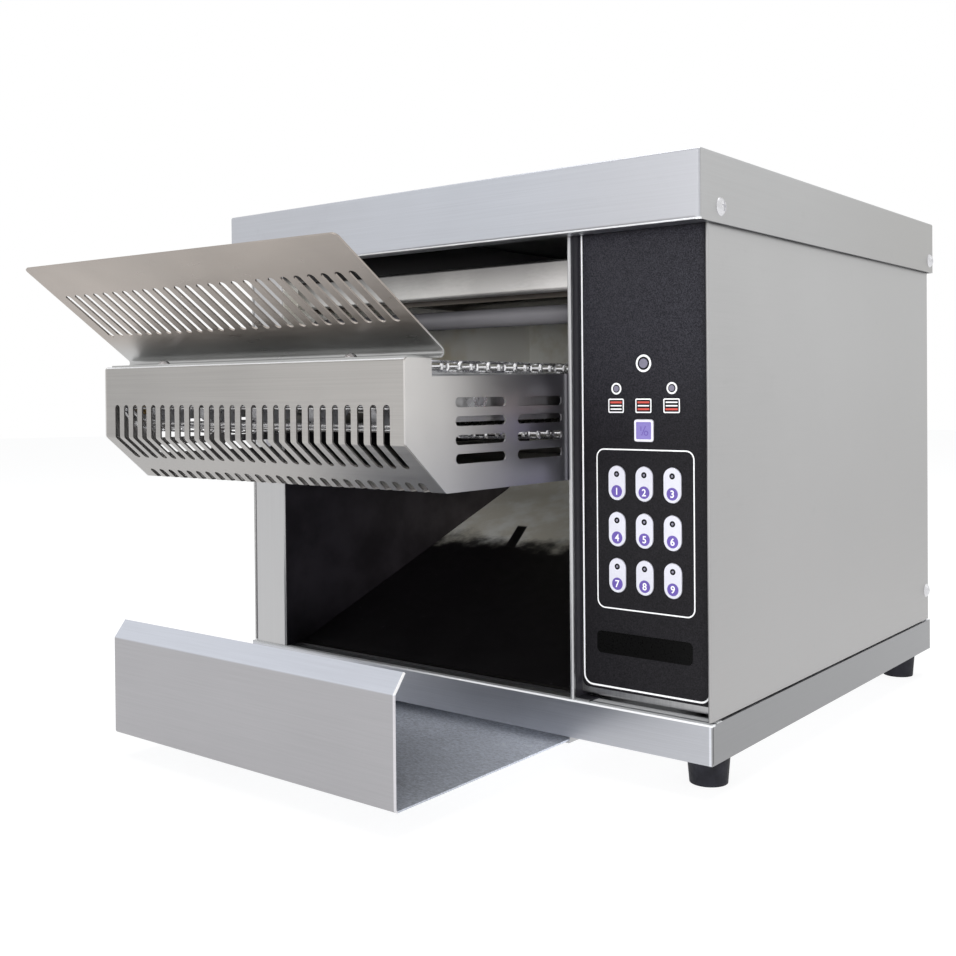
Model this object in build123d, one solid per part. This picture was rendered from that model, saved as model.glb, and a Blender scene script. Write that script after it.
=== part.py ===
from build123d import *
import math
import os

# Conveyor toaster, drawn in millimetres: +X to the right, +Y to the back, +Z up.
# While it is drawn, x = 0 is the middle of the body, y = 0 the front face of the
# top cover and z = 0 the table. Every piece is then moved back by the same amount,
# so that the written parts have their origin under the middle of the whole toaster.

# ---------------------------------------------------------------- driving sizes
sheet = 1.0  # stainless sheet of every shell and guide
bend = 1.5  # radius of a fold, on the middle of the sheet
near = 0.3  # gap between neighbours that must not rub
snug = 0.05  # gap of a pin or tube in its hole

body_width = 363.0  # over the side panels
body_depth = 354.0  # from the side panels' front edge to the rear panel's face
cover_overhang = 3.5  # the lid reaches past the body by this on each side
cover_front_overhang = 15.0
cover_rear_overhang = 4.0
cover_top = 343.4
cover_skirt = 37.1
cover_edge_radius = 1.5
cover_fold_radius = 2.0  # outside of the fold along the front skirt's lower edge
cover_flange_gap = 2.5  # from the front skirt's inward flange to the body
cover_corner_relief = 3.0  # that flange stops this far before the corners

foot_height = 20.0
foot_top_radius = 12.5
foot_bottom_radius = 10.75
foot_inset_x = 18.5  # foot axis from the side panel's outer face
foot_inset_front = 32.0  # foot axis from the front of the body
foot_inset_rear = 13.5
foot_screw_radius = 2.5
foot_recess_radius = 5.5
foot_recess_depth = 6.0
base_height = 21.8  # rim of the base pan
base_step = 1.0  # the base stands out from the body on each side
base_flange = 11.5  # inward flange along the top of the rim
base_seam = 0.5  # open corner of the folded rim

side_hem = 2.1  # folded front edge of the side panels
side_gap = 0.9  # shadow gap between the side panels and the base
divider_hem = 2.6  # folded front edge of the divider
divider_foot = 9.5  # tab of the divider that lies on the base
hem_depth = 14.0
post_width = 30.7  # upright on the left of the opening
control_width = 84.6  # control panel, between the divider and the side panel's hem
panel_flange = 12.0  # folds that join the sheets inside

feed_overlap = 5.3  # the feed box reaches over the post by this
feed_front = -123.6
feed_top = 235.3
feed_front_height = 41.9  # from the top down to where the front slopes back
feed_slope_end_y = -93.6
feed_height = 67.7
feed_shoulder_y = -104.0  # the side plates step down behind this
feed_flange_end_y = -109.5
feed_side_drop = 9.1  # step of the side plates at the shoulder
feed_side_rear_drop = 6.6  # and at their rear end
feed_slots = 26
feed_slot_margin = 12.35  # from the box's side to the first slot's middle
feed_slot_width = 4.5
feed_slot_rise = 19.1  # how far a long slot runs up the front
feed_slot_slope = 20.0  # and down the slope
drip_slot_slope = 31.5  # where a short slot starts on the slope
drip_slot_reach = 4.0  # how far it runs under the bottom
side_slot_length = 42.0
side_slot_height = 5.1
side_slot_rows = 4
side_slot_pitch = 9.6
side_slot_rise = 16.8  # lowest row above the bottom
side_slot_front_y = -65.0  # middle of the front group
side_slot_rear_y = -12.7  # middle of the rear group

flap_overhang = 5.75  # the flap is wider than the feed box by this on each side
flap_length = 94.7
flap_angle = 35.4
flap_fold_radius = 2.5
flap_hinge_y = -96.2  # corner of its fold
flap_flange = 24.0
flap_flange_inset = 8.0
flap_notch = 16.0  # depth of the notch at each end of the flange
flap_corner = 3.0
flap_slots = 26
flap_slot_margin = 11.35
flap_slot_width = 4.5
flap_slot_start = 30.7
flap_slot_end = 69.7
flap_screw_y = -114.0
flap_screw_inset = 51.5  # from the flap's ends
flap_screw_head_radius = 3.6

belt_inset = 8.6  # from the feed box's side to the belt's edge
belt_drop = 1.05  # the belt runs this far below the top of the feed box
roller_radius = 16.0  # middle of the belt round its rollers
front_axle_inset = 23.6  # from the feed box's front
rear_axle_inset = 124.0  # from the rear of the body
belt_rod_diameter = 1.8
link_height = 5.5
link_thickness = 1.6
link_wire = 1.3
belt_pitch_goal = 12.0
belt_sag = 6.0  # the lower run hangs this far at mid span

rail_depth = 12.5  # from the axles down to a rail's lower edge
rail_top_flange = 8.0
rail_gap = 1.2  # between the belt's edge and a rail
rail_front_overrun = 12.0  # past the front axle
rail_rear_overrun = 17.0
journal_radius = 4.0
bush_radius = 7.0
bush_flange_radius = 9.0
bush_flange = 1.5
disc_count = 5
disc_thickness = 8.0
disc_margin = 25.0  # from the belt's edge to the first disc
disc_gap = 0.4  # between a disc and the rods of the belt
sprocket_teeth = 8
tooth_depth = 3.5
tie_radius = 3.0
tie_drop = 1.5  # below the axles
tie_front_inset = 36.0  # behind the front axle
tie_rear_inset = 40.0  # before the rear axle
nut_across_flats = 10.0
nut_height = 5.0
support_bar_thickness = 2.0
support_bar_spread = 76.0

slide_lip_y = 25.5  # front end of the slide, lying on the base
slide_lip_length = 6.4
slide_angle = 20.6
slide_bend_radius = 60.0
guide_inset = 61.0  # upright rear guide, from the rear of the body
guide_rise = 50.0  # above the belt
pan_rear_inset = 5.0  # the pan ends this far before the rear axle
pan_lip = 10.0

tray_inset = 8.1  # from the feed box's side to the tray's edge
tray_front = -124.7
tray_bottom = 13.9
tray_fold_z = 71.7
tray_lip_y = -116.7
tray_lip_z = 81.2
tray_depth = 330.0
tray_lip_grip = 6.0  # how far the runner reaches under the tray
runner_flange = 10.0

mouth_height = 42.7  # from the top of the feed box to the panel above the mouth
upper_panel_height = 18.8
upper_panel_setback = 15.0  # behind the front of the body
reflector_rise = 8.0  # above the lower edge of that panel
reflector_lip_setback = 29.0  # its turned-down front edge, behind the front of the body
reflector_lip = 10.5
front_heater_setback = 35.0
upper_heater_inset = 65.0  # rear upper heater, before the rear axle
lower_heater_inset = 57.0
upper_heater_drop = 12.5  # front upper heater, below the panel's lower edge
upper_heater_rise = 5.2  # each upper heater lies higher than the one before it
upper_heater_radius = 6.0
lower_heater_drop = 3.5  # below the axles
lower_heater_radius = 4.5
heater_cap_length = 12.0
heater_cap_wall = 3.0
heater_hole_gap = 0.4

control_setback = 8.0  # face of the control overlay, behind the front of the body
control_rise = 2.4  # lower edge of the plate above the base
control_fold_radius = 0.8
control_top_gap = 12.4  # below the cover's sheet
overlay_thickness = 0.6
overlay_edge = 0.5  # bare steel left at each side of the overlay
overlay_rise = 6.7  # lower edge of the overlay above the base
overlay_corner = 4.0
key_pitch_x = 17.7
key_pitch_z = 26.1
key_bottom_z = 114.3
key_width = 10.7
key_height = 19.2
key_proud = 0.4
key_travel = 0.4
key_depth = 4.5
key_flange = 0.8
key_flange_thickness = 1.0
power_key_z = 196.2
power_key_size = 12.0
mode_key_z = 210.0
mode_key_width = 10.2
mode_key_height = 8.0
lamp_z = 233.5
lamp_radius = 2.6
small_lamp_z = 219.6
small_lamp_radius = 1.7
board_thickness = 1.6
keypad_margin = 16.3  # from the outer keys to the keypad board's edge
switch_radius = 3.0
switch_height = 0.8

screw_head_radius = 5.0
screw_head_height = 2.4
screw_radius = 2.0
screw_length = 6.0
cover_screw_setback = 7.8  # behind the front of the body
cover_screw_rise = 8.7  # above the skirt's lower edge
rear_screw_rise = 22.9  # above the base
rear_screw_inset = 4.0  # before the rear of the body

louvre_count = 9
louvre_pitch = 14.0
louvre_width = 4.0
louvre_height = 60.0
louvre_rows_z = (130.0, 250.0)
gland_inset = 41.5  # from the side panel's outer face
gland_z = 85.0
gland_bore_radius = 4.5
terminal_inset = 55.5

gearbox_width = 25.0
gearbox_size = 60.0
motor_radius = 27.0
motor_length = 42.0
board_stand_off = 6.0
supply_board_y = 60.0  # front end of the supply board
supply_board_length = 130.0
supply_board_z = 70.0
supply_board_height = 90.0
pillar_inset = 6.0
transformer_size = (22.4, 35.0, 40.0)  # outwards, along and up
relay_size = (10.4, 16.0, 27.0)
relay_pitch = 22.0

# ---------------------------------------------------------------- derived places
half = sheet / 2
body_side = body_width / 2
body_front = cover_front_overhang
body_rear = body_front + body_depth
cover_width = body_width + 2 * cover_overhang
cover_depth = body_rear + cover_rear_overhang
base_side = body_side + base_step
base_front = body_front - base_step
base_rear = body_rear + base_step
base_top = foot_height + base_height
panel_top = cover_top - sheet
skirt_bottom = cover_top - cover_skirt
wall_rear = body_rear - sheet

post_left = side_hem - body_side
mouth_left = post_left + post_width  # left side of the tall opening in the front
control_right = body_side - side_hem
divider_face = control_right - control_width  # right face of the divider
mouth_right = divider_face - divider_hem

feed_left = mouth_left - feed_overlap
feed_right = mouth_right
feed_bend_z = feed_top - feed_front_height
feed_bottom = feed_top - feed_height
lane_centre = (feed_left + feed_right) / 2  # middle of the conveyor, flap and toast tray
feed_slot_pitch = (feed_right - feed_left - 2 * feed_slot_margin) / (feed_slots - 1)
flap_left = feed_left - flap_overhang
flap_right = feed_right + flap_overhang
flap_slot_pitch = (flap_right - flap_left - 2 * flap_slot_margin) / (flap_slots - 1)

belt_left = feed_left + belt_inset
belt_right = feed_right - belt_inset
belt_width = belt_right - belt_left
belt_top = feed_top - belt_drop
belt_underside = belt_top - link_height
axle_z = belt_top - link_height / 2 - roller_radius
front_axle_y = feed_front + front_axle_inset
rear_axle_y = body_rear - rear_axle_inset
axle_ys = (front_axle_y, rear_axle_y)
rail_left = belt_left - rail_gap  # inner faces of the rails
rail_right = belt_right + rail_gap
rail_top = belt_underside - near
rail_bottom = axle_z - rail_depth
rail_front = front_axle_y - rail_front_overrun
rail_rear = rear_axle_y + rail_rear_overrun
guide_y = body_rear - guide_inset  # middle of its sheet
guide_top = feed_top + guide_rise
tray_left = feed_left + tray_inset
tray_right = feed_right - tray_inset

upper_panel_y = body_front + upper_panel_setback
upper_panel_bottom = feed_top + mouth_height
upper_panel_top = upper_panel_bottom + upper_panel_height
reflector_z = upper_panel_bottom + reflector_rise
front_heater_y = body_front + front_heater_setback
upper_heater_step = (rear_axle_y - upper_heater_inset - front_heater_y) / 2
lower_heater_step = (rear_axle_y - lower_heater_inset - front_heater_y) / 2
upper_heater_z = upper_panel_bottom - upper_heater_drop
lower_heater_z = axle_z - lower_heater_drop
upper_heaters_at = [
    (front_heater_y + i * upper_heater_step, upper_heater_z + i * upper_heater_rise) for i in range(3)
]
lower_heaters_at = [(front_heater_y + i * lower_heater_step, lower_heater_z) for i in range(3)]
tie_z = axle_z - tie_drop
tie_front_y = front_axle_y + tie_front_inset
tie_mid_y = front_heater_y + lower_heater_step / 2
tie_rear_y = rear_axle_y - tie_rear_inset

control_y = body_front + control_setback
control_back = control_y + overlay_thickness + sheet
control_bottom = base_top + control_rise
control_top = panel_top - control_top_gap
overlay_bottom = base_top + overlay_rise
key_centre_x = (divider_face + control_right) / 2
key_back = control_y - key_proud + key_depth
board_front = key_back + key_travel + 0.2 + switch_height
key_top_z = key_bottom_z + 2 * key_pitch_z
gland_x = body_side - gland_inset
terminal_x = body_side - terminal_inset
feet_at = [
    (x, y)
    for x in (-body_side + foot_inset_x, body_side - foot_inset_x)
    for y in (body_front + foot_inset_front, body_rear - foot_inset_rear)
]

parts = {}


# ---------------------------------------------------------------- shape helpers
def block(x0, x1, y0, y1, z0, z1):
    """A box between two corners."""
    centre = ((x0 + x1) / 2, (y0 + y1) / 2, (z0 + z1) / 2)
    return Pos(*centre) * Box(abs(x1 - x0), abs(y1 - y0), abs(z1 - z0))


def rod_x(x0, x1, y, z, radius):
    """A round bar along X."""
    return Pos((x0 + x1) / 2, y, z) * Rot(0, 90, 0) * Cylinder(radius, abs(x1 - x0))


def rod_y(x, y0, y1, z, radius):
    """A round bar along Y."""
    return Pos(x, (y0 + y1) / 2, z) * Rot(90, 0, 0) * Cylinder(radius, abs(y1 - y0))


def rod_z(x, y, z0, z1, radius):
    """A round bar along Z."""
    return Pos(x, y, (z0 + z1) / 2) * Cylinder(radius, abs(z1 - z0))


def folded(points, radius):
    """The outline of a folded sheet whose middle follows the points."""
    if len(points) == 2:
        return trace(Line(*points), sheet)
    return trace(FilletPolyline(*points, radius=radius), sheet)


def sheet_along_x(points, x0, x1, radius=bend):
    """A folded sheet with its (y, z) outline run along X."""
    return extrude(Plane.YZ.offset(x0) * folded(points, radius), x1 - x0)


def sheet_along_y(points, y0, y1, radius=bend):
    """A folded sheet with its (x, z) outline run along Y."""
    return extrude(Plane.XZ.offset(-y1) * folded(points, radius), y1 - y0)


def sheet_along_z(points, z0, z1, radius=bend):
    """A folded sheet with its (x, y) outline run along Z."""
    return extrude(Plane.XY.offset(z0) * folded(points, radius), z1 - z0)


def slot_cutter(plane, length, width, depth):
    """A pill along the plane's x axis, cutting to both sides of the plane."""
    return extrude(plane * SlotOverall(length, width), depth, both=True)


def hex_nut(x0, x1, y, z, across_flats=nut_across_flats):
    """A hexagon along X."""
    outline = RegularPolygon(across_flats / 2, 6, major_radius=False)
    return extrude(Plane.YZ.offset(x0) * (Pos(y, z) * outline), x1 - x0)


def truss_screw(head_radius=screw_head_radius, head=screw_head_height):
    """A low domed screw: head above z = 0, shank below it."""
    dome_radius = (head_radius**2 + head**2) / (2 * head)
    dome = Pos(0, 0, head - dome_radius) * Sphere(dome_radius)
    head_blank = Pos(0, 0, head / 2) * Cylinder(head_radius, head)
    shank = Pos(0, 0, -screw_length / 2) * Cylinder(screw_radius, screw_length)
    return (head_blank & dome) + shank


def screw_hole(location):
    """Clears the shank of a truss screw at the same location."""
    return location * Cylinder(screw_radius + snug, 2 * screw_length)


def facing(x, y, z, direction):
    """Puts a screw at a point with its head towards +X, -X or +Z."""
    turn = {"+X": Rot(0, 90, 0), "-X": Rot(0, -90, 0), "+Z": Rot(0, 0, 0)}
    return Pos(x, y, z) * turn[direction]


def lane_row(count, pitch):
    """Even places across the conveyor."""
    return [lane_centre + (i - (count - 1) / 2) * pitch for i in range(count)]


def on_both_sides(x, y, z):
    """Places of a screw on the right side and of its twin on the left."""
    return [facing(x, y, z, "+X"), facing(-x, y, z, "-X")]


cover_screw_y = body_front + cover_screw_setback
cover_screw_z = skirt_bottom + cover_screw_rise
rear_screw_y = body_rear - rear_screw_inset
front_cover_screws_at = on_both_sides(cover_width / 2, cover_screw_y, cover_screw_z)
rear_cover_screws_at = on_both_sides(cover_width / 2, rear_screw_y, cover_screw_z)
cover_screws_at = front_cover_screws_at + rear_cover_screws_at
rear_screws_at = on_both_sides(body_side, rear_screw_y, base_top + rear_screw_rise)
flap_screws_at = [
    facing(x, flap_screw_y, feed_top + sheet, "+Z")
    for x in (flap_left + flap_screw_inset, flap_right - flap_screw_inset)
]


# ---------------------------------------------------------------- base and feet
def base_pan():
    rim = block(-base_side, base_side, base_front, base_rear, foot_height, base_top)
    inside = block(
        -base_side + sheet,
        base_side - sheet,
        base_front + sheet,
        base_rear - sheet,
        foot_height + sheet,
        base_top - sheet,
    )
    reach = sheet + base_flange
    top_opening = block(
        -base_side + reach,
        base_side - reach,
        base_front + reach,
        base_rear - reach,
        base_top - 2 * sheet,
        base_top,
    )
    pan = rim - inside - top_opening
    for side in (-1, 1):
        x0, x1 = sorted((side * (base_side - reach), side * (base_side + 1)))
        seam_front = base_front + sheet
        pan -= block(x0, x1, seam_front, seam_front + base_seam, foot_height + sheet, base_top + 1)
    for x, y in feet_at:
        pan -= rod_z(x, y, foot_height, foot_height + sheet, foot_screw_radius + snug)
    return pan


def rubber_foot(x, y):
    cone = Pos(x, y, foot_height / 2) * Cone(foot_bottom_radius, foot_top_radius, foot_height)
    recess = rod_z(x, y, 0, foot_recess_depth, foot_recess_radius)
    hole = rod_z(x, y, 0, foot_height, foot_screw_radius + snug)
    return cone - recess - hole


def foot_screw(x, y):
    head = rod_z(x, y, foot_recess_depth - 3, foot_recess_depth, foot_recess_radius - 1)
    shank = rod_z(x, y, foot_recess_depth, foot_height + sheet + nut_height, foot_screw_radius)
    return head + shank


def foot_nut(x, y):
    outline = RegularPolygon(nut_across_flats / 2, 6, major_radius=False)
    outline -= Circle(foot_screw_radius + snug)
    return extrude(Pos(x, y, foot_height + sheet) * outline, nut_height - 1)


# ---------------------------------------------------------------- body panels
def side_panel(side):
    """One side of the body: folded front edge and top flange."""
    outer = body_side - half
    inner = body_side - side_hem + half
    points = [
        (side * inner, body_front + hem_depth),
        (side * inner, body_front + half),
        (side * outer, body_front + half),
        (side * outer, body_rear),
    ]
    panel = sheet_along_z(points, base_top + side_gap, panel_top, (outer - inner) / 2 - 0.01)
    ledge_x = sorted((side * (body_side - panel_flange), side * (body_side - half)))
    ledge_y = (body_front + hem_depth, body_rear - panel_flange - near)
    panel += block(*ledge_x, *ledge_y, panel_top - sheet, panel_top)
    for place in cover_screws_at + rear_screws_at:
        panel -= screw_hole(place)
    return panel


def rear_panel():
    """Stands between the side panels, which its folded sides are screwed to."""
    side = body_side - sheet - half
    back = body_rear - half
    flange_y = body_rear - panel_flange
    points = [(-side, flange_y), (-side, back), (side, back), (side, flange_y)]
    panel = sheet_along_z(points, base_top, panel_top)
    louvre = extrude(Plane.XZ * Rectangle(louvre_width, louvre_height), 2 * sheet, both=True)
    places = lane_row(louvre_count, louvre_pitch)
    panel -= [Pos(x, body_rear, z) * louvre for x in places for z in louvre_rows_z]
    for place in rear_cover_screws_at + rear_screws_at:
        panel -= screw_hole(place)
    panel -= rod_y(gland_x, wall_rear - 1, body_rear + 1, gland_z, gland_bore_radius + 3 + snug)
    return panel


def top_cover():
    """Lid with a skirt all round; the front skirt has an inward flange between its corners."""
    side = cover_width / 2
    lid = block(-side, side, 0, cover_depth, skirt_bottom, cover_top)
    rim = lid.edges().filter_by(Axis.Z) + lid.faces().sort_by(Axis.Z)[-1].edges()
    lid = fillet(rim, cover_edge_radius)
    hollow = (-side + sheet, side - sheet, sheet, cover_depth - sheet)
    lid -= block(*hollow, skirt_bottom, cover_top - sheet)
    fold_side = side - cover_corner_relief
    fold_top = skirt_bottom + 2 * cover_fold_radius
    lid -= block(-fold_side, fold_side, -1, sheet, skirt_bottom - 1, fold_top)
    flange_z = skirt_bottom + half
    points = [(body_front - cover_flange_gap, flange_z), (half, flange_z), (half, fold_top)]
    lid += sheet_along_x(points, -fold_side, fold_side, cover_fold_radius - half)
    for place in cover_screws_at:
        lid -= screw_hole(place)
    return lid


def left_inner_panel():
    """Front post and left wall of the toasting chamber, folded from one sheet."""
    points = [
        (post_left + half, body_front + panel_flange),
        (post_left + half, body_front + half),
        (mouth_left - half, body_front + half),
        (mouth_left - half, wall_rear),
    ]
    return sheet_along_z(points, base_top, panel_top - sheet) - screw_hole(front_cover_screws_at[1])


def divider_wall():
    """Right wall of the chamber, with the folded edge that shows in front."""
    outer = divider_face - half
    inner = mouth_right + half
    points = [
        (inner, body_front - sheet + hem_depth),
        (inner, body_front - sheet + half),
        (outer, body_front - sheet + half),
        (outer, wall_rear),
    ]
    wall = sheet_along_z(points, base_top, panel_top - sheet, (outer - inner) / 2 - 0.01)
    wall -= rod_x(mouth_right, divider_face + 1, rear_axle_y, axle_z, bush_radius)
    foot_end = base_front + sheet + base_flange
    foot_right = divider_face + divider_foot
    return wall + block(outer, foot_right, body_front + sheet, foot_end, base_top, base_top + sheet)


def wall_holes():
    """Holes for the heaters and the conveyor studs, through both chamber walls."""
    x0, x1 = mouth_left - 2 * sheet, divider_face + sheet
    cuts = []
    for y, z in upper_heaters_at:
        cuts.append(rod_x(x0, x1, y, z, upper_heater_radius + heater_hole_gap))
    for y, z in lower_heaters_at:
        cuts.append(rod_x(x0, x1, y, z, lower_heater_radius + heater_hole_gap))
    for y in (tie_mid_y, tie_rear_y):
        cuts.append(rod_x(x0, x1, y, tie_z, tie_radius + snug))
    return cuts


# ---------------------------------------------------------------- feed box and flap
def slope_point(distance):
    """A point on the outside of the feed box's slope, measured down from its fold."""
    run = feed_slope_end_y - feed_front
    drop = feed_bend_z - feed_bottom
    share = distance / math.hypot(run, drop)
    return feed_front + run * share, feed_bend_z - drop * share


def slope_cutter(distance, length):
    """A bar across the slope from the given distance down its outside, with a round start."""
    y, z = slope_point(distance)
    tilt = math.degrees(math.atan2(feed_bend_z - feed_bottom, feed_slope_end_y - feed_front))
    middle = Pos(0, math.copysign(abs(length) / 2, length), 0)
    bar = Cylinder(feed_slot_width / 2, 6) + middle * Box(feed_slot_width, abs(length), 6)
    return Pos(0, y, z) * Rot(-tilt, 0, 0) * bar


def long_slot_cutter():
    """Cuts the front from the slot's top, over the fold and down the slope."""
    centre_z = feed_bend_z + feed_slot_rise - feed_slot_width / 2
    pill = rod_y(0, feed_front - 4, feed_front + 4, centre_z, feed_slot_width / 2)
    half_width = feed_slot_width / 2
    pill += block(-half_width, half_width, feed_front - 4, feed_front + 4, feed_bend_z, centre_z)
    return [pill, slope_cutter(feed_slot_slope - half_width, -feed_slot_slope)]


def drip_slot_cutter():
    """Cuts the slope's lower end and a little of the bottom."""
    half_width = feed_slot_width / 2
    end_y = feed_slope_end_y + drip_slot_reach
    under = block(-half_width, half_width, feed_slope_end_y - 2, end_y, feed_bottom - 2, feed_bottom + 2)
    return [slope_cutter(drip_slot_slope + half_width, 10), under]


def feed_front_cover():
    """Slotted front: top flange, upright face, slope and long bottom."""
    points = [
        (feed_flange_end_y, feed_top - half),
        (feed_front + half, feed_top - half),
        (feed_front + half, feed_bend_z - 0.2),
        (feed_slope_end_y + 0.2, feed_bottom + half),
        (body_front - sheet - near, feed_bottom + half),
    ]
    cover = sheet_along_x(points, feed_left + sheet, feed_right - sheet)
    cutters = long_slot_cutter() + drip_slot_cutter()
    places = lane_row(feed_slots, feed_slot_pitch)
    cover -= [Pos(x, 0, 0) * cutter for cutter in cutters for x in places]
    for place in flap_screws_at:
        cover -= screw_hole(place)
    return cover


def feed_side_outline(rear):
    """Outline of a side plate; its front follows the folds of the cover."""
    front = FilletPolyline(
        (feed_shoulder_y, feed_top),
        (feed_front, feed_top),
        (feed_front, feed_bend_z),
        (feed_slope_end_y, feed_bottom),
        (rear, feed_bottom),
        radius=bend + half,
    )
    back = Polyline(
        (rear, feed_bottom),
        (rear, feed_top - feed_side_rear_drop),
        (feed_shoulder_y, feed_top - feed_side_drop),
        (feed_shoulder_y, feed_top),
    )
    return make_face(front + back)


def feed_side(side):
    """A slotted side plate: the left one is flanged onto the post, the right one runs inside."""
    rear = body_front + hem_depth if side > 0 else body_front
    x0 = feed_right - sheet if side > 0 else feed_left
    plate = extrude(Plane.YZ.offset(x0) * feed_side_outline(rear), sheet)
    for row in range(side_slot_rows):
        z = feed_bottom + side_slot_rise + row * side_slot_pitch
        for y in (side_slot_front_y, side_slot_rear_y):
            plane = Plane(origin=(x0 + half, y, z), x_dir=(0, 1, 0), z_dir=(1, 0, 0))
            plate -= slot_cutter(plane, side_slot_length, side_slot_height, 3)
    if side > 0:
        return plate
    flange_top = feed_top - feed_side_rear_drop
    return plate + block(feed_left - panel_flange, feed_left, rear - sheet, rear, feed_bottom, flange_top)


def bread_flap():
    """Slotted chute above the feed box, screwed down by its bottom flange."""
    angle = math.radians(flap_angle)
    low_z = feed_top + half
    tip = (flap_hinge_y - flap_length * math.cos(angle), low_z + flap_length * math.sin(angle))
    points = [(flap_hinge_y - flap_flange, low_z), (flap_hinge_y, low_z), tip]
    flap = sheet_along_x(points, flap_left, flap_right, flap_fold_radius)
    plane = Plane(
        origin=(lane_centre, flap_hinge_y, low_z),
        x_dir=(1, 0, 0),
        z_dir=(0, math.sin(angle), math.cos(angle)),
    )
    middle = (flap_slot_start + flap_slot_end) / 2
    length = flap_slot_end - flap_slot_start
    pill = extrude(plane * Pos(0, -middle) * SlotOverall(length, flap_slot_width, rotation=90), 3, both=True)
    shifts = [x - lane_centre for x in lane_row(flap_slots, flap_slot_pitch)]
    flap -= [Pos(shift, 0, 0) * pill for shift in shifts]
    flange_front = flap_hinge_y - flap_flange
    for end in (flap_left, flap_right - flap_flange_inset):
        notch = (end, end + flap_flange_inset, flange_front - 1, flange_front + flap_notch)
        flap -= block(*notch, feed_top - 1, low_z + sheet)
    for place in flap_screws_at:
        flap -= screw_hole(place)
    corners = flap.edges().filter_by(lambda e: abs(e.length - sheet) < 0.01)
    reach = (flap_right - flap_left) / 2
    corners = corners.filter_by(lambda e: abs(abs(e.center().X - lane_centre) - reach) < 0.01)
    corners = corners.sort_by(Axis.Z)[-2:]
    return fillet(corners, flap_corner)


# ---------------------------------------------------------------- conveyor
def belt_stations():
    """Centres of the belt's rods, evenly spaced round the whole loop."""
    span = rear_axle_y - front_axle_y
    bottom_length = span + 8 * belt_sag**2 / (3 * span)
    turn_length = math.pi * roller_radius
    total = span + bottom_length + 2 * turn_length
    count = round(total / belt_pitch_goal)
    stations = []
    for i in range(count):
        s = (i + 0.5) * total / count
        if s < span:
            stations.append((front_axle_y + s, axle_z + roller_radius))
        elif s < span + turn_length:
            angle = math.pi / 2 - (s - span) / roller_radius
            stations.append(
                (rear_axle_y + roller_radius * math.cos(angle), axle_z + roller_radius * math.sin(angle))
            )
        elif s < span + turn_length + bottom_length:
            share = (s - span - turn_length) / bottom_length
            droop = 4 * belt_sag * share * (1 - share)
            stations.append((rear_axle_y - span * share, axle_z - roller_radius - droop))
        else:
            angle = -math.pi / 2 - (s - span - turn_length - bottom_length) / roller_radius
            stations.append(
                (front_axle_y + roller_radius * math.cos(angle), axle_z + roller_radius * math.sin(angle))
            )
    return stations


def belt_strand(here, ahead, outer):
    """One rod of the belt with the two end links that reach to the next rod."""
    dy, dz = ahead[0] - here[0], ahead[1] - here[1]
    pitch = math.hypot(dy, dz)
    angle = math.degrees(math.atan2(dz, dy))
    rod = Pos(lane_centre, 0, 0) * Rot(0, 90, 0) * extrude(
        RegularPolygon(belt_rod_diameter / 2, 6), (belt_width - 4 * link_thickness) / 2, both=True
    )
    inner_height = link_height - 2 * link_wire
    length = pitch + belt_rod_diameter + link_wire
    strand = rod
    inset = 0 if outer else link_thickness + snug * 4
    for side in (-1, 1):
        edge = lane_centre + side * (belt_width / 2 - inset)
        x0, x1 = sorted((edge, edge - side * link_thickness))
        link = block(x0, x1, -length / 2, length / 2, -link_height / 2, link_height / 2)
        link -= block(
            x0, x1, -length / 2 + link_wire, length / 2 - link_wire, -inner_height / 2, inner_height / 2
        )
        strand += Pos(0, pitch / 2, 0) * link
        if outer:
            strand += block(
                *sorted((edge - side * link_thickness / 2, edge - side * 3 * link_thickness)),
                -belt_rod_diameter / 2,
                belt_rod_diameter / 2,
                -belt_rod_diameter / 2,
                belt_rod_diameter / 2,
            )
        strand += block(
            x0,
            x1,
            -belt_rod_diameter / 2 - link_wire / 2,
            0,
            -inner_height / 2,
            inner_height / 2,
        )
    return Pos(0, here[0], here[1]) * Rot(angle, 0, 0) * strand


def wire_belt():
    stations = belt_stations()
    count = len(stations)
    return [belt_strand(stations[i], stations[(i + 1) % count], i % 2 == 0) for i in range(count)]


def conveyor_rail(side):
    """A side rail with the flange that the belt's edge rides on."""
    inner = rail_right if side > 0 else rail_left
    points = [
        (inner - side * rail_top_flange, rail_top - half),
        (inner + side * half, rail_top - half),
        (inner + side * half, rail_bottom),
    ]
    rail = sheet_along_y(points, rail_front, rail_rear)
    low, high = sorted((inner - side * (rail_top_flange + 1), inner - side * 0.01))
    for y0, y1 in ((rail_front - 1, front_axle_y + 4), (rear_axle_y - 4, rail_rear + 1)):
        rail -= block(low, high, y0, y1, rail_bottom, rail_top + 1)
    for y in axle_ys:
        rail -= rod_x(low, inner + side * 3, y, axle_z, bush_radius + snug)
    for y, z in lower_heaters_at:
        rail -= rod_x(low, inner + side * 3, y, z, lower_heater_radius + heater_hole_gap)
    for y in (tie_front_y, tie_mid_y, tie_rear_y):
        rail -= rod_x(low, inner + side * 3, y, tie_z, tie_radius + snug)
    return rail


def bush(side, y):
    """Flanged bearing pressed into a rail from the inside."""
    inner = rail_right if side > 0 else rail_left
    flange = rod_x(inner - side * bush_flange, inner, y, axle_z, bush_flange_radius)
    barrel = rod_x(inner - side * bush_flange, inner + side * (sheet + 0.4), y, axle_z, bush_radius)
    bore = rod_x(inner - side * 5, inner + side * 5, y, axle_z, journal_radius + snug)
    return flange + barrel - bore


def disc_places():
    return lane_row(disc_count, (belt_width - 2 * disc_margin) / (disc_count - 1))


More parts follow.
